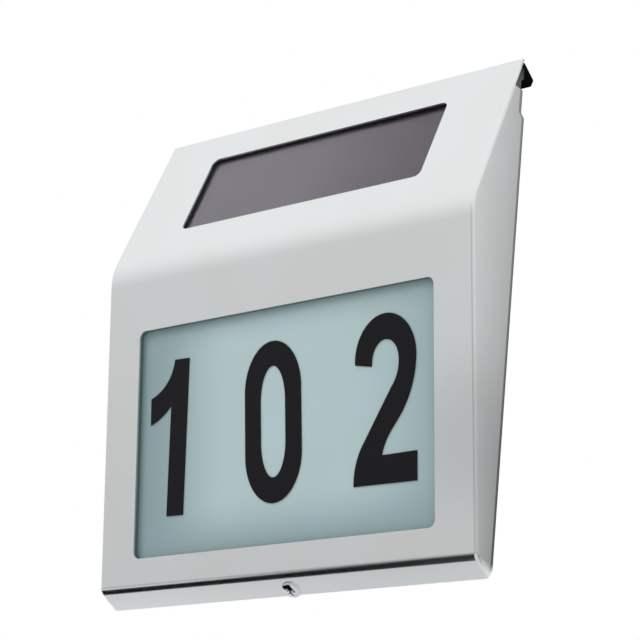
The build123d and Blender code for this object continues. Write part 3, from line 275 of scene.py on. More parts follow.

# %% [markdown]
# ## Moulded plastics
# The black housing with its hook rail comes from a polished mould, the other black parts from a
# spark-eroded one, whose grains of about 0.4 mm catch the light. The white tray is polystyrene, and the
# small parts on the boards are moulded too. One recipe takes the colour, the gloss and how strong the
# texture is, and adds a faint painted shade in the texture's valleys. The rail's ends need more: in the
# photograph the flat in line with the side wall mirrors the room and the beak behind it stays black, so
# there the strength of the gloss goes by the place.

# %% Moulded plastic materials
def moulded(name, colour, valley_shade, roughness, texture, grain_size):
    material, tree = new_material(name)
    place = add(tree, "ShaderNodeTexCoord").outputs["Object"]
    grain = {"Vector": place, "Scale": 1 / (grain_size * MM), "Detail": 3}
    grain = add(tree, "ShaderNodeTexNoise", grain).outputs["Fac"]
    # painted shade: the texture's valleys are tinted darker
    tint = add(
        tree, "ShaderNodeMix", {0: grain, 6: linear(valley_shade), 7: linear(colour)}, data_type="RGBA"
    ).outputs[2]
    gloss = {"Value": grain, "To Min": roughness + 0.08, "To Max": roughness - 0.04}
    gloss = add(tree, "ShaderNodeMapRange", gloss).outputs[0]
    relief = {"Height": grain, "Strength": texture, "Distance": 0.05 * MM}
    relief = add(tree, "ShaderNodeBump", relief).outputs[0]
    plastic = {"Base Color": tint, "Roughness": gloss, "IOR": 1.53, "Normal": relief}
    plastic = add(tree, "ShaderNodeBsdfPrincipled", plastic)
    add(tree, "ShaderNodeOutputMaterial", {"Surface": plastic.outputs[0]})
    return material


glossy_abs = moulded("glossy_black_abs", "#101113", "#0c0c0e", 0.2, 0.05, 6.0)
tree = glossy_abs.node_tree
place = add(tree, "ShaderNodeTexCoord").outputs["Object"]
_, rearward, upward = add(tree, "ShaderNodeSeparateXYZ", {0: place}).outputs
flush = 1.0
for value, begin, full in ((rearward, -8.9, -9.3), (upward, 99, 92)):
    flush = {"Value": value, "From Min": begin * MM, "From Max": full * MM, "To Min": 0.0, "To Max": flush}
    flush = add(tree, "ShaderNodeMapRange", flush).outputs[0]
plastic = [node for node in tree.nodes if node.type == "BSDF_PRINCIPLED"][0]
tree.links.new(flush, plastic.inputs["Specular IOR Level"])
textured_abs = moulded("spark_eroded_black_abs", "#1f2021", "#161718", 0.5, 0.5, 0.4)
white_styrene = moulded("white_polystyrene", "#eceeed", "#e0e2e1", 0.38, 0.12, 0.8)
epoxy_case = moulded("black_epoxy_case", "#232325", "#1a1a1b", 0.55, 0.3, 0.3)
package_white = moulded("white_led_package", "#efe9d2", "#e6dcae", 0.4, 0.1, 0.6)
paint("black_abs", textured_abs)
paint("white_plastic", white_styrene)
paint("component_black", epoxy_case)
paint("led_package", package_white)

# %% [markdown]
# ## Black digits and foam
# The digits are cut from black acrylic-backed film, half a millimetre thick and nearly flat in gloss.
# The seals are closed-cell foam: cells of about 0.5 mm, drawn with a Voronoi pattern that gives each
# cell its own dent, and painted shade makes each dent a little darker. The foam round the number panel is
# painted grey-green, as its edge is in the photograph: painted shade with painted green light from the
# panel. The other seals are black.

# %% Film and foam materials
digit_film, tree = new_material("black_acrylic_film")
place = add(tree, "ShaderNodeTexCoord").outputs["Object"]
grain = {"Vector": place, "Scale": 1 / (3 * MM), "Detail": 4}
grain = add(tree, "ShaderNodeTexNoise", grain).outputs["Fac"]
tint = add(
    tree, "ShaderNodeMix", {0: grain, 6: linear("#0b0b0e"), 7: linear("#0f0f13")}, data_type="RGBA"
).outputs[2]
gloss = add(tree, "ShaderNodeMapRange", {"Value": grain, "To Min": 0.42, "To Max": 0.54}).outputs[0]
film = {"Base Color": tint, "Roughness": gloss, "IOR": 1.3}
film = add(tree, "ShaderNodeBsdfPrincipled", film).outputs[0]
add(tree, "ShaderNodeOutputMaterial", {"Surface": film})
paint("black_film", digit_film)


def foam(name, shaded_cell_colour, wall_colour):
    material, tree = new_material(name)
    place = add(tree, "ShaderNodeTexCoord").outputs["Object"]
    cells = {"Vector": place, "Scale": 1 / (0.5 * MM)}
    cells = add(tree, "ShaderNodeTexVoronoi", cells).outputs["Distance"]
    # painted shade: each cell's dent is tinted darker than its walls
    tint = add(
        tree, "ShaderNodeMix", {0: cells, 6: linear(shaded_cell_colour), 7: linear(wall_colour)}, data_type="RGBA"
    ).outputs[2]
    relief = {"Height": cells, "Strength": 0.5, "Distance": 0.1 * MM}
    relief = add(tree, "ShaderNodeBump", relief).outputs[0]
    rubber = {"Base Color": tint, "Roughness": 0.85, "Normal": relief}
    rubber = add(tree, "ShaderNodeBsdfPrincipled", rubber).outputs[0]
    add(tree, "ShaderNodeOutputMaterial", {"Surface": rubber})
    return material


black_foam = foam("closed_cell_black_foam", "#0b0c0d", "#191b1c")
# painted shade and painted green light from the panel, on the seal round the number panel
panel_lit_foam = foam("closed_cell_grey_green_foam", "#4d615d", "#62787a")
paint("black_foam", black_foam)
nodes["number_seal"].material_slots[0].material = panel_lit_foam

# %% [markdown]
# ## Wire sleeves
# The wires wear sleeves of soft vinyl. The first of each pair is red and the second black, so that they
# can be told apart when they are soldered. Vinyl gets a faint dusty bloom, a noise of about 2 mm.

# %% Wire sleeves
def sleeve(name, colour, dusted):
    material, tree = new_material(name)
    place = add(tree, "ShaderNodeTexCoord").outputs["Object"]
    bloom = {"Vector": place, "Scale": 1 / (2 * MM), "Detail": 2}
    bloom = add(tree, "ShaderNodeTexNoise", bloom).outputs["Fac"]
    tint = add(
        tree, "ShaderNodeMix", {0: bloom, 6: linear(colour), 7: linear(dusted)}, data_type="RGBA"
    ).outputs[2]
    vinyl = {"Base Color": tint, "Roughness": 0.38, "IOR": 1.52}
    vinyl = add(tree, "ShaderNodeBsdfPrincipled", vinyl).outputs[0]
    add(tree, "ShaderNodeOutputMaterial", {"Surface": vinyl})
    return material


red_sleeve = sleeve("red_vinyl_sleeve", "#b32020", "#c43a34")
black_sleeve = sleeve("black_vinyl_sleeve", "#18181a", "#26262a")
for name in [n for n in nodes if "_wire_" in n]:
    nodes[name].material_slots[0].material = red_sleeve if name.endswith("1") else black_sleeve
print("wires:", [n for n in nodes if "_wire_" in n])

# %% [markdown]
# ## The solar panel
# Behind the upper window lies a thin-film cell under a clear cover. Silicon this thin looks a soft
# purple-grey; here it is made darker and warmer towards the right. It carries scribe
# lines every 18 mm, hair-fine cuts that divide it into cells in series; in the photograph they can
# barely be told, so they are 0.15 mm wide and faint. A Ping-Pong node walks from 0 to its scale and back,
# so its scale is half their spacing. The cover is a glass that lets the lamps' rays through unbent,
# because a lamp's shadow ray doesn't otherwise pass a refracting surface. Solar glass has a coat against
# reflections; a low refractive index for the glass and the cell stands for that coat.

# %% Solar cell and cover materials
COATED = 1.25                                    # refractive index that stands for the coat
SCRIBE_SPACING = 18 * MM
thin_film, tree = new_material("thin_film_silicon")
place = in_plane(tree, SLOPE_FOOT, SLOPE_LEAN)
across, _, up = add(tree, "ShaderNodeSeparateXYZ", {0: place}).outputs
sideways = {"Value": across, "From Min": -15 * MM, "From Max": 60 * MM}
sideways = add(tree, "ShaderNodeMapRange", sideways, interpolation_type="SMOOTHSTEP").outputs[0]
drift = {"Vector": place, "Scale": 1 / (24 * MM), "Detail": 2}
drift = add(tree, "ShaderNodeTexNoise", drift).outputs["Fac"]
drift = add(tree, "ShaderNodeMapRange", {"Value": drift, "To Min": -0.25, "To Max": 0.25}).outputs[0]
turn = add(tree, "ShaderNodeMath", {0: sideways, 1: drift}, operation="ADD", use_clamp=True).outputs[0]
tint = add(
    tree, "ShaderNodeMix", {0: turn, 6: linear("#545057"), 7: linear("#392f37")}, data_type="RGBA"
).outputs[2]
stripe = {0: across, 1: SCRIBE_SPACING / 2}
stripe = add(tree, "ShaderNodeMath", stripe, operation="PINGPONG").outputs[0]
scribed = {"Value": stripe, "From Min": 0.08 * MM, "From Max": 0.0, "To Max": 0.25}
scribed = add(tree, "ShaderNodeMapRange", scribed).outputs[0]
tint = add(tree, "ShaderNodeMix", {0: scribed, 6: tint, 7: linear("#333035")}, data_type="RGBA").outputs[2]
silicon = {"Base Color": tint, "Roughness": 0.45, "IOR": COATED}
silicon = add(tree, "ShaderNodeBsdfPrincipled", silicon).outputs[0]
add(tree, "ShaderNodeOutputMaterial", {"Surface": silicon})
paint("solar_silicon", thin_film)

clear_cover, tree = new_material("clear_solar_cover")
place = add(tree, "ShaderNodeTexCoord").outputs["Object"]
smear = {"Vector": place, "Scale": 1 / (12 * MM), "Detail": 3}
smear = add(tree, "ShaderNodeTexNoise", smear).outputs["Fac"]
gloss = add(tree, "ShaderNodeMapRange", {"Value": smear, "To Min": 0.05, "To Max": 0.12}).outputs[0]
clear = {"Base Color": linear("#f4f2f6"), "Roughness": gloss, "IOR": COATED, "Transmission Weight": 1.0}
clear = add(tree, "ShaderNodeBsdfPrincipled", clear).outputs[0]
passing = add(tree, "ShaderNodeBsdfTransparent", {"Color": linear("#f4f2f6")}).outputs[0]
lamp_ray = add(tree, "ShaderNodeLightPath").outputs["Is Shadow Ray"]
surface = add(tree, "ShaderNodeMixShader", {0: lamp_ray, 1: clear, 2: passing}).outputs[0]
add(tree, "ShaderNodeOutputMaterial", {"Surface": surface})
paint("solar_cover", clear_cover)

# %% [markdown]
# ## Circuit boards
# A bare board is glass cloth in resin under a coat of lacquer. The green one shows the cloth's weave,
# threads 0.44 mm apart, as a faint change of shade, and copper tracks under the lacquer as paler bands
# of about 1 mm. The white boards carry white lacquer, which hides both but for a trace. A Wave texture
# has 20 radians to the unit, so a scale of one to 1.4 mm gives that spacing.

# %% Circuit board materials
def lacquered(name, colour, thread_colour, track_colour, track_share):
    material, tree = new_material(name)
    place = add(tree, "ShaderNodeTexCoord").outputs["Object"]
    weave = {"Vector": place, "Scale": 1 / (1.4 * MM), "Distortion": 0.2}
    weave = add(tree, "ShaderNodeTexWave", weave, bands_direction="X").outputs["Fac"]
    tint = add(
        tree, "ShaderNodeMix", {0: weave, 6: linear(colour), 7: linear(thread_colour)}, data_type="RGBA"
    ).outputs[2]
    tracks = {"Vector": place, "Scale": 1 / (5 * MM), "Randomness": 0.4}
    tracks = add(tree, "ShaderNodeTexVoronoi", tracks, feature="DISTANCE_TO_EDGE").outputs["Distance"]
    tracks = {"Value": tracks, "From Min": 0.14, "From Max": 0.1, "To Max": track_share}
    tracks = add(tree, "ShaderNodeMapRange", tracks).outputs[0]
    tint = add(
        tree, "ShaderNodeMix", {0: tracks, 6: tint, 7: linear(track_colour)}, data_type="RGBA"
    ).outputs[2]
    board = {"Base Color": tint, "Roughness": 0.3, "IOR": 1.55}
    board = add(tree, "ShaderNodeBsdfPrincipled", board).outputs[0]
    add(tree, "ShaderNodeOutputMaterial", {"Surface": board})
    return material


green_board = lacquered("green_lacquered_board", "#1d5a39", "#236643", "#3c8a55", 0.8)
white_board = lacquered("white_lacquered_board", "#eceee9", "#e4e7e1", "#f3f4f0", 0.5)
paint("circuit_board", green_board)
paint("white_board", white_board)

# %% [markdown]
# ## The battery's sleeve
# A round cell wears a shrunk plastic sleeve with printed bands. There is no maker's print here: a green
# body, a light grey shoulder at the positive end and a thin white line between them. The bands go by the
# distance along the cell, and the bare steel of the two ends is left metallic, told by its normal.

# %% Battery material
battery_lo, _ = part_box("battery")
battery_sleeve, tree = new_material("printed_battery_sleeve")
coordinates = add(tree, "ShaderNodeTexCoord").outputs
place = coordinates["Object"]
along = add(tree, "ShaderNodeSeparateXYZ", {0: place}).outputs["X"]
bands = []
for from_end in (38, 39):                        # in mm, where the line and the shoulder begin
    start = battery_lo[0] + from_end * MM
    band = {"Value": along, "From Min": start - 0.1 * MM, "From Max": start}
    bands.append(add(tree, "ShaderNodeMapRange", band).outputs[0])
line, shoulder = bands
scuffs = {"Vector": place, "Scale": 1 / (4 * MM), "Detail": 5}
scuffs = add(tree, "ShaderNodeTexNoise", scuffs).outputs["Fac"]
body_tint = add(
    tree, "ShaderNodeMix", {0: scuffs, 6: linear("#2c5f3c"), 7: linear("#34694a")}, data_type="RGBA"
).outputs[2]
end_on = add(tree, "ShaderNodeSeparateXYZ", {0: coordinates["Normal"]}).outputs["X"]
end_on = add(tree, "ShaderNodeMath", {0: end_on}, operation="ABSOLUTE").outputs[0]
bare = add(tree, "ShaderNodeMapRange", {"Value": end_on, "From Min": 0.9, "From Max": 0.95}).outputs[0]
tint = body_tint
for share, colour in ((line, "#d9dad6"), (shoulder, "#9aa09c"), (bare, "#cfcfcc")):
    tint = add(tree, "ShaderNodeMix", {0: share, 6: tint, 7: linear(colour)}, data_type="RGBA").outputs[2]
gloss = add(tree, "ShaderNodeMapRange", {"Value": scuffs, "To Min": 0.2, "To Max": 0.36}).outputs[0]
print_coat = {"Base Color": tint, "Metallic": bare, "Roughness": gloss}
print_coat = add(tree, "ShaderNodeBsdfPrincipled", print_coat).outputs[0]
add(tree, "ShaderNodeOutputMaterial", {"Surface": print_coat})
paint("battery_sleeve", battery_sleeve)

# %% [markdown]
# ## Softened edges
# A punched sheet is tumbled before it is bent, so its cut edges are not knife sharp, and sawn acrylic,
# ground glass, moulded plastic and cut film aren't either. A narrow rounding catches the bright ceiling
# as a fine light line. The solids are sharp there, so the pieces seen in front are copied, their loose
# triangles merged and the flat ones joined, and a Bevel modifier rounds every edge over 30 degrees.
# Modelling them again would only risk leaving the measured shape.

# %% Helpers to take up and finish a piece
def alone(piece):
    """Make one object the only selected and active one."""
    bpy.ops.object.select_all(action="DESELECT")
    piece.select_set(True)
    bpy.context.view_layer.objects.active = piece


def taken_from(node, name):
    """A new piece with a merged copy of a solid's mesh; the solid itself is left as it is."""
    mesh = nodes[node].data.copy()
    piece = bpy.data.objects.new(name, mesh)
    bpy.context.scene.collection.objects.link(piece)
    alone(piece)
    bpy.ops.object.mode_set(mode="EDIT")
    bpy.ops.mesh.select_all(action="SELECT")
    bpy.ops.mesh.remove_doubles(threshold=0.001 * MM)
    bpy.ops.mesh.dissolve_limited(angle_limit=math.radians(0.5))
    bpy.ops.object.mode_set(mode="OBJECT")
    return piece


def rounded(piece, width, segments=2, over=30):
    """Round a piece's sharp edges and shade it smooth between them."""
    alone(piece)
    bevel = piece.modifiers.new("softened edges", "BEVEL")
    bevel.width = width
    bevel.segments = segments
    bevel.limit_method = "ANGLE"
    bevel.angle_limit = math.radians(over)
    bpy.ops.object.modifier_apply(modifier=bevel.name)
    bpy.ops.object.shade_smooth_by_angle(angle=math.radians(over))
    even = piece.modifiers.new("flat sheets", "WEIGHTED_NORMAL")
    even.weight = 100
    even.keep_sharp = True
    bpy.ops.object.modifier_apply(modifier=even.name)
    return piece


def hand_over(piece, body, slot_name, material, *replaced):
    """Put a finished piece on its body, with its finish, in place of the solids it stands for; the slot
    name is not used.
    """
    piece.data.materials.clear()
    piece.data.materials.append(material)
    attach(piece, body)
    if replaced:
        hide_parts(*replaced)
    print(piece.name, len(piece.data.polygons), "faces on", body)


# %% [markdown]
# ## The pieces with softened edges
# Sheet and mouldings get a rounding of 0.2 mm, film 0.12 mm and glass 0.1 mm. The solar glass lies right
# on its cell. Two faces in one place flicker in a picture, so the rear part of the glass is squashed a
# little towards the front, and a thin gap of air is left, as there is in a real lamp.

# %% The sheet, the panels, the housing and the digits with softened edges
into_slope = Vector((0, math.cos(SLOPE_LEAN), math.sin(SLOPE_LEAN)))
KEPT_DEPTH = 2.2 * MM                            # from the slope's skin; the glass is squashed behind it
SQUASH = 0.3
for node, name, width, slot_name, material in (
    # solid, piece, width of the rounding in mm, slot, finish
    ("front_cover", "front_shell", 0.2, "stainless_sheet", satin_stainless),
    ("number_panel", "sawn_number_panel", 0.2, "frosted_acrylic", frosted_acrylic),
    ("solar_glass", "ground_solar_glass", 0.1, "solar_cover", clear_cover),
    ("main_housing", "moulded_housing", 0.2, "black_abs", glossy_abs),
    ("digit_one", "cut_one", 0.12, "black_film", digit_film),
    ("digit_zero", "cut_zero", 0.12, "black_film", digit_film),
    ("digit_two", "cut_two", 0.12, "black_film", digit_film),
):
    piece = taken_from(node, name)
    if node == "solar_glass":
        for vertex in piece.data.vertices:
            deep = max(0.0, into_slope.dot(vertex.co - SLOPE_FOOT) - KEPT_DEPTH)
            vertex.co -= SQUASH * deep * into_slope
    hand_over(rounded(piece, width * MM), "lamp", slot_name, material, node)

# %% [markdown]
# ## Cross-recessed screws
# Ten screws show their heads. A pan head starts as a disc, rises as a straight rim and closes in a
# dome, and the driver's recess is a cross whose arms narrow towards the bottom. The head is raised
# ring by ring from a circle, and two tapered blocks are cut away for the recess. The shank is a cylinder
# with a bevelled tip, joined to the head, and the thread on it is a triangle swept along a helix, which
# the Screw modifier does. Its crests stay just inside the solid's shank. Each size is modelled once,
# standing upright at the origin, and copies are laid in their holes.

# %% A pan head screw
RING = 40                                        # sides of a round head or core
RIM = 0.25                                       # the straight rim, as a share of the head's height
ARM_LENGTH, ARM_WIDTH = 1.25, 0.26               # the recess, as shares of the head's radius
ARM_DEPTH, ARM_TOP = 0.62, 1.02                  # and of its height; the block begins above the dome
CORE, ROOT, CREST = 0.86, 0.8, 0.99              # core and thread, as shares of the shank's radius


def ring_out(height, radius, before):
    """Extrude the selected ring upwards by a height and scale it to a new radius."""
    bpy.ops.mesh.extrude_region_move(TRANSFORM_OT_translate={"value": (0, 0, height - before[0])})
    share = radius / before[1]
    bpy.ops.transform.resize(value=(share, share, 1), center_override=(0, 0, height))
    return height, radius


def cross_arm(length, width, depth, top):
    """A block that narrows downwards, to cut one arm of the recess."""
    bpy.ops.mesh.primitive_cube_add(size=1, location=(0, 0, top - depth / 2), scale=(length, width, depth))
    bpy.ops.object.mode_set(mode="EDIT")
    bpy.ops.mesh.select_mode(type="FACE")
    bpy.ops.mesh.select_all(action="DESELECT")
    bpy.ops.object.mode_set(mode="OBJECT")
    arm = bpy.context.object
    min(arm.data.polygons, key=lambda face: face.center.z).select = True
    bpy.ops.object.mode_set(mode="EDIT")
    bpy.ops.transform.resize(value=(0.35, 0.7, 1), center_override=(0, 0, top - depth))
    bpy.ops.object.mode_set(mode="OBJECT")
    bpy.ops.object.transform_apply(location=True, rotation=True, scale=True)
    return arm


def cut(piece, tool):
    """Cut a tool's shape out of a piece and throw the tool away."""
    alone(piece)
    bite = piece.modifiers.new("recess", "BOOLEAN")
    bite.operation = "DIFFERENCE"
    bite.solver = "EXACT"
    bite.object = tool
    bpy.ops.object.modifier_apply(modifier=bite.name)
    bpy.data.objects.remove(tool)


def thread(core, crest, pitch, start, end):
    """A helical ridge between two heights."""
    upright_turn = (math.pi / 2, 0, 0)
    bpy.ops.mesh.primitive_circle_add(vertices=3, radius=1, fill_type="NOTHING", rotation=upright_turn)
    ridge = bpy.context.object
    bpy.ops.object.transform_apply(location=True, rotation=True, scale=True)
    for vertex, (x, z) in zip(ridge.data.vertices, ((core, -pitch / 3), (crest, 0), (core, pitch / 3))):
        vertex.co = (x, 0, start + z)
    sweep = ridge.modifiers.new("helix", "SCREW")
    sweep.axis = "Z"
    sweep.steps = sweep.render_steps = 20
    sweep.iterations = int((end - start) / pitch)
    sweep.screw_offset = pitch
    bpy.ops.object.modifier_apply(modifier=sweep.name)
    return ridge


def pan_screw(name, shank, head_radius, head_height, length, pitch):
    """A screw with its seat at height 0, the head above it and the shank below."""
    bpy.ops.mesh.primitive_circle_add(vertices=RING, radius=head_radius, fill_type="NGON")
    screw = bpy.context.object
    screw.name = name
    bpy.ops.object.mode_set(mode="EDIT")
    bpy.ops.mesh.select_mode(type="FACE")
    bpy.ops.mesh.select_all(action="SELECT")
    ring = ring_out(RIM * head_height, head_radius, (0.0, head_radius))
    for angle in (15, 30, 45, 60, 75, 85):
        rise = (RIM + (1 - RIM) * math.sin(math.radians(angle))) * head_height
        ring = ring_out(rise, head_radius * math.cos(math.radians(angle)), ring)
    bpy.ops.object.mode_set(mode="OBJECT")
    arm_size = (ARM_LENGTH * head_radius, ARM_WIDTH * head_radius, ARM_DEPTH * head_height)
    for arm_turn in (0, math.pi / 2):
        arm = cross_arm(*arm_size, ARM_TOP * head_height)
        arm.rotation_euler.z = arm_turn
        alone(arm)
        bpy.ops.object.transform_apply(rotation=True)
        cut(screw, arm)
    bpy.ops.mesh.primitive_cylinder_add(vertices=RING, radius=CORE * shank, depth=length)
    core = bpy.context.object
    core.data.transform(Matrix.Translation((0, 0, -length / 2)))
    bpy.ops.object.mode_set(mode="EDIT")
    bpy.ops.mesh.select_all(action="DESELECT")
    bpy.ops.object.mode_set(mode="OBJECT")
    min(core.data.polygons, key=lambda face: face.center.z).select = True
    bpy.ops.object.mode_set(mode="EDIT")
    bpy.ops.mesh.bevel(offset=0.3 * shank, segments=1)
    bpy.ops.object.mode_set(mode="OBJECT")
    ridge = thread(ROOT * shank, CREST * shank, pitch, -length + 1.2 * pitch, -0.6 * pitch)
    alone(screw)
    core.select_set(True)
    ridge.select_set(True)
    bpy.ops.object.join()
    bpy.ops.object.mode_set(mode="EDIT")
    bpy.ops.mesh.select_all(action="SELECT")
    bpy.ops.mesh.normals_make_consistent(inside=False)
    bpy.ops.object.mode_set(mode="OBJECT")
    bpy.ops.object.shade_smooth_by_angle(angle=math.radians(35))
    return screw


def laid(model, name, seat, turn):
    """A copy of an upright model, with its own mesh, turned and moved to its place."""
    piece = bpy.data.objects.new(name, model.data.copy())
    piece.data.transform(Matrix.Translation(seat) @ turn.to_matrix().to_4x4())
    bpy.context.scene.collection.objects.link(piece)
    return piece


# %% [markdown]
# ## The lock screw
# It goes up through the bottom flange into the bracket's foot, so that nobody lifts the lamp off. The
# flange slopes, so the screw stands square to it, and its recess is turned 20 degrees, as it happened to
# stop. Its shank and head stay inside the solid's box.

# %% The lock screw
LOCK_ASIDE = 2.8 * MM                            # right of the middle
LOCK_FROM_FACE = 7.7 * MM                        # along the flange
outward = Vector((0, -math.sin(FLANGE_LEAN), -math.cos(FLANGE_LEAN)))
along_flange = Vector((0, math.cos(FLANGE_LEAN), -math.sin(FLANGE_LEAN)))
LOCK_SEAT = FACE_FOOT + Vector((LOCK_ASIDE, 0, 0)) + LOCK_FROM_FACE * along_flange
upright = pan_screw("lock_model", 1.9 * MM, 3.8 * MM, 1.6 * MM, 12.6 * MM, 0.7 * MM)
turn = Matrix.Rotation(math.radians(20), 3, outward) @ outward.to_track_quat("Z", "X").to_matrix()
lock = laid(upright, "cross_recess_lock_screw", LOCK_SEAT, turn.to_euler())
bpy.data.objects.remove(upright)
hand_over(lock, "lock_screw", "chrome_screw", chrome_plate, "lock_screw")
solid_screw = [[round(c / MM, 2) for c in corner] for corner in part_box("lock_screw")]
print("seat in mm", [round(c / MM, 2) for c in LOCK_SEAT], "in the solid's box", solid_screw)

# %% [markdown]
# ## The case screws and the door screw
# Eight small screws hold the back cover and one still smaller holds the battery door. All face the wall.
# Screws never stop at the same turn, so each copy of the case screw is turned 0.7 radians more than the
# one before.

# %% The case screws and the door screw
facing_wall = Euler((-math.pi / 2, 0, 0))
upright = pan_screw("case_model", 1.2 * MM, 2.8 * MM, 1.3 * MM, 5.0 * MM, 0.8 * MM)
for number in range(1, 9):
    low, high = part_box(f"case_screw_{number}")
    seat = Vector(((low[0] + high[0]) / 2, high[1] - 1.3 * MM, (low[2] + high[2]) / 2))
    spin = (Matrix.Rotation(0.7 * number, 3, "Y") @ facing_wall.to_matrix()).to_euler()
    piece = laid(upright, f"cross_recess_case_screw_{number}", seat, spin)
    hand_over(piece, "lamp", "steel_screw", zinc_plate, f"case_screw_{number}")
bpy.data.objects.remove(upright)
upright = pan_screw("door_model", 1.0 * MM, 2.1 * MM, 1.2 * MM, 6.0 * MM, 0.7 * MM)
low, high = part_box("door_screw")
seat = Vector(((low[0] + high[0]) / 2, high[1] - 1.2 * MM, (low[2] + high[2]) / 2))
piece = laid(upright, "cross_recess_door_screw", seat, facing_wall)
bpy.data.objects.remove(upright)
hand_over(piece, "battery_door", "steel_screw", zinc_plate, "door_screw")

# %% [markdown]
# ## Words beside the switch
# Someone who reaches behind the lamp has to tell on from off, so the back cover has the two words
# moulded beside the knob, 0.15 mm proud, and rolled over with pale ink. They are text objects, given a
# thickness, made into meshes and laid flat on the cover's rear face, to be read from behind.

# %% Raised ON and OFF
def raised_word(word, middle, height):
    bpy.ops.object.text_add()
    text = bpy.context.object
    text.data.body = word
    text.data.size = height * 1.4
    text.data.extrude = 0.15 * MM
    text.data.align_x = "CENTER"
    text.data.align_y = "CENTER"
    bpy.ops.object.convert(target="MESH")
    text.data.transform(Matrix.Translation(middle) @ Euler((math.pi / 2, 0, math.pi)).to_matrix().to_4x4())
    text.name = "raised_" + word.lower()
    return text


pale_ink = moulded("pale_printing_ink", "#d4d6d4", "#c2c5c2", 0.5, 0.1, 0.5)
knob_lo, knob_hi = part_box("switch_knob")
knob = [(a + b) / 2 for a, b in zip(knob_lo, knob_hi)]
cover_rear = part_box("back_cover")[1][1]
for word, aside in (("ON", 8.6), ("OFF", -6.4)):
    legend = raised_word(word, (knob[0] + aside * MM, cover_rear, knob[2]), 2.4 * MM)
    hand_over(legend, "lamp", "black_abs", pale_ink)

# %% [markdown]
# ## The studio
# The lamp hangs free in front of white. The background is the colour of the world, for the camera and
# for what is seen through glass. Steel shows what surrounds it, so the world that it mirrors is a room.
# The table lists what stands in it: how much brighter or darker each thing makes the room, and the
# directions between which it fades in, as parts of a unit vector. Everything that isn't metal is lit at
# a plain level, by an even world and three soft lamps that stay out of reflections.

# %% World
room = bpy.data.worlds.new("studio")
bpy.context.scene.world = room
room.use_nodes = True
tree = room.node_tree
tree.nodes.clear()
way = add(tree, "ShaderNodeTexCoord").outputs["Generated"]
sideways, rearward, upward = add(tree, "ShaderNodeSeparateXYZ", {0: way}).outputs
screens = (
    (0.62, ((upward, -0.13, -0.02),)),                                                  # pale walls
    (0.26, ((upward, 0.03, 0.72),)),                                                    # a white ceiling
    (-0.13, ((rearward, 0.3, 0.75), (upward, 0.0, 0.45))),                              # greyer behind
    (0.22, ((rearward, 0.5, 0.75), (upward, 0.14, 0.04))),                              # a low white panel
    (-0.60, ((rearward, 0.45, 0.65), (sideways, 0.42, 0.3),                             # a dark recess
             (upward, 0.08, 0.16), (upward, 0.6, 0.5))),                                # over that panel
    (-0.20, ((rearward, -0.88, -0.96), (sideways, -0.25, -0.1), (upward, -0.1, 0.0))),  # a stand in front
    (0.20, ((upward, 0.88, 0.95),)),                                                    # soft box overhead
    (0.80, ((rearward, 0.0, 0.2), (upward, 0.55, 0.65), (sideways, -0.2, -0.5))),       # and at upper left
)
brightness = 0.02
for weight, fades in screens:
    for value, begin, full in fades:
        fade = {"Value": value, "From Min": begin, "From Max": full}
        fade = add(tree, "ShaderNodeMapRange", fade, interpolation_type="SMOOTHSTEP").outputs[0]
        weight = add(tree, "ShaderNodeMath", {0: weight, 1: fade}, operation="MULTIPLY").outputs[0]
    brightness = add(tree, "ShaderNodeMath", {0: brightness, 1: weight}, operation="ADD").outputs[0]
brightness = add(tree, "ShaderNodeMath", {0: brightness, 1: 0.02}, operation="MAXIMUM").outputs[0]
mirrored = {0: (0.985, 0.995, 1.0), "Scale": brightness}
mirrored = add(tree, "ShaderNodeVectorMath", mirrored, operation="SCALE").outputs[0]
ray = add(tree, "ShaderNodeLightPath").outputs
PLAIN_LEVEL = (0.55, 0.55, 0.55, 1.0)
light = {0: ray["Is Glossy Ray"], 6: PLAIN_LEVEL, 7: mirrored}
light = add(tree, "ShaderNodeMix", light, data_type="RGBA").outputs[2]
seen = {0: ray["Is Camera Ray"], 1: ray["Is Transmission Ray"]}
seen = add(tree, "ShaderNodeMath", seen, operation="MAXIMUM").outputs[0]
light = {0: seen, 6: light, 7: (1.0, 1.0, 1.0, 1.0)}
light = add(tree, "ShaderNodeMix", light, data_type="RGBA").outputs[2]
light = add(tree, "ShaderNodeBackground", {"Color": light, "Strength": 1.0}).outputs[0]
add(tree, "ShaderNodeOutputWorld", {"Surface": light})
print(len(screens), "screens in the room that metal mirrors")

# %% [markdown]
# ## The floor
# White paper lies under the lamp. Mirrors see a dark mat on it, in front of the wall and to the left,
# and that gives the black line along the bottom bend of the cover, while the flange under it mirrors the
# paper further back. Far in front the mat ends along a slanting line, so that the left side wall doesn't
# mirror it. The paper is a little greyer on the right. From below the floor isn't seen.

# %% Floor
FLOOR_HEIGHT = -450 * MM
bpy.ops.mesh.primitive_circle_add(vertices=96, radius=3.0, fill_type="NGON", location=(0, 0, FLOOR_HEIGHT))
floor = bpy.context.object
floor.name = "floor"
pale_floor, tree = new_material("pale_floor")
place = add(tree, "ShaderNodeTexCoord").outputs["Object"]
sideways, rearward, _ = add(tree, "ShaderNodeSeparateXYZ", {0: place}).outputs
ray = add(tree, "ShaderNodeLightPath").outputs
dark_mat = ray["Is Glossy Ray"]
for value, begin, full in (
    # direction, where the mat's edge begins and where the mat is full, in mm
    (rearward, 54, 34),
    (rearward, -1800, -600),
    (sideways, -50, -110),
):
    fade = {"Value": value, "From Min": begin * MM, "From Max": full * MM}
    fade = add(tree, "ShaderNodeMapRange", fade, interpolation_type="SMOOTHSTEP").outputs[0]
    dark_mat = add(tree, "ShaderNodeMath", {0: dark_mat, 1: fade}, operation="MULTIPLY").outputs[0]
slant = {0: sideways, 1: -1.15, 2: rearward}
slant = add(tree, "ShaderNodeMath", slant, operation="MULTIPLY_ADD").outputs[0]
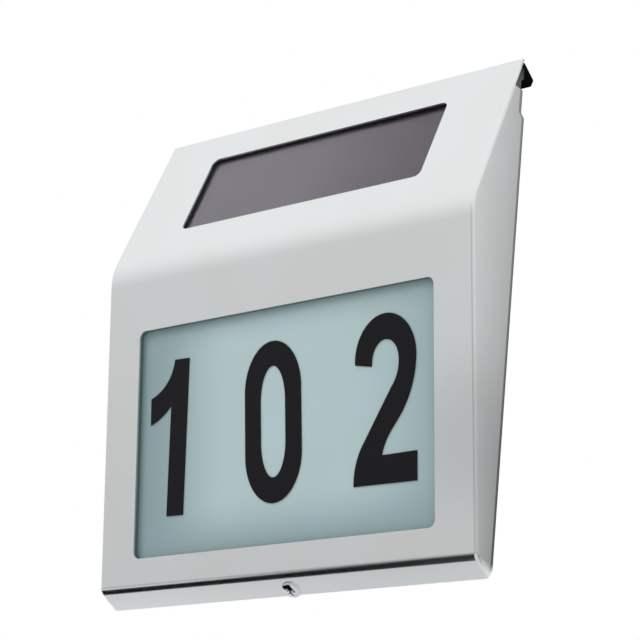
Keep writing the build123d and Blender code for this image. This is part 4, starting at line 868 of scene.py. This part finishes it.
strip = {"Value": slant, "From Min": 60 * MM, "From Max": -10 * MM}
strip = add(tree, "ShaderNodeMapRange", strip).outputs[0]
near = {"Value": rearward, "From Min": -650 * MM, "From Max": -450 * MM}
near = add(tree, "ShaderNodeMapRange", near).outputs[0]
strip = add(tree, "ShaderNodeMath", {0: strip, 1: near}, operation="MAXIMUM").outputs[0]
dark_mat = add(tree, "ShaderNodeMath", {0: dark_mat, 1: strip}, operation="MULTIPLY").outputs[0]
paper = {"Value": sideways, "From Min": -430 * MM, "From Max": -230 * MM}
paper = add(tree, "ShaderNodeMapRange", paper).outputs[0]
paper = add(
    tree, "ShaderNodeMix", {0: paper, 6: linear("#fcfcfe"), 7: linear("#e8eaec")}, data_type="RGBA"
).outputs[2]
tint = {0: dark_mat, 6: paper, 7: linear("#101010")}
tint = add(tree, "ShaderNodeMix", tint, data_type="RGBA").outputs[2]
matt = add(tree, "ShaderNodeBsdfDiffuse", {"Color": tint}).outputs[0]
from_below = add(tree, "ShaderNodeNewGeometry").outputs["Backfacing"]
nothing = add(tree, "ShaderNodeBsdfTransparent").outputs[0]
surface = add(tree, "ShaderNodeMixShader", {0: from_below, 1: matt, 2: nothing}).outputs[0]
add(tree, "ShaderNodeOutputMaterial", {"Surface": surface})
floor.data.materials.append(pale_floor)
print("floor", round(FLOOR_HEIGHT / MM), "mm from the lamp's middle")

# %% [markdown]
# ## The lamps
# Three square soft boxes light what isn't metal: the key from the upper left, a weak fill from the right
# and one behind, for the views from the rear. They stay out of mirrors, where the screens do their work.

# %% Lamps
def soft_lamp(name, place, size, watts):
    """A square soft box that looks at the middle of the lamp."""
    bpy.ops.object.light_add(type="AREA", location=place)
    lamp = bpy.context.object
    lamp.name = name
    lamp.data.size = size
    lamp.data.energy = watts
    lamp.rotation_euler = (Vector((0, 0, 0)) - Vector(place)).to_track_quat("-Z", "Y").to_euler()
    lamp.visible_glossy = False
    return lamp


soft_lamp("key", (-0.55, -0.85, 0.75), 0.7, 6.0)
soft_lamp("fill", (0.9, -0.7, 0.1), 0.9, 2.4)
soft_lamp("rear", (0.2, 1.1, 0.6), 0.8, 4.0)

# %% [markdown]
# ## The camera
# The photograph looks up at the lamp from its lower right, from about 83 cm, with a long lens. The
# place, the direction and the focal length were found by matching the lamp's own corners and window
# edges to the picture.

# %% Camera
CAMERA_PLACE = Vector((0.49007, -0.60540, -0.28913))
bpy.ops.object.camera_add()
camera = bpy.context.object
camera.data.lens = 117.65
camera.data.sensor_width = 36
camera.data.clip_start = 0.01
looking = Vector((-0.5912, 0.7218, 0.3598)).normalized()
up = Vector((0.1463, -0.3427, 0.9280))
right = looking.cross(up).normalized()
up = right.cross(looking)
turned = Matrix((right, up, -looking)).transposed().to_4x4()
camera.matrix_world = Matrix.Translation(CAMERA_PLACE) @ turned
bpy.context.scene.camera = camera
bpy.context.scene.view_settings.view_transform = "Standard"
print("camera", round(camera.matrix_world.translation.length / MM), "mm from the origin")
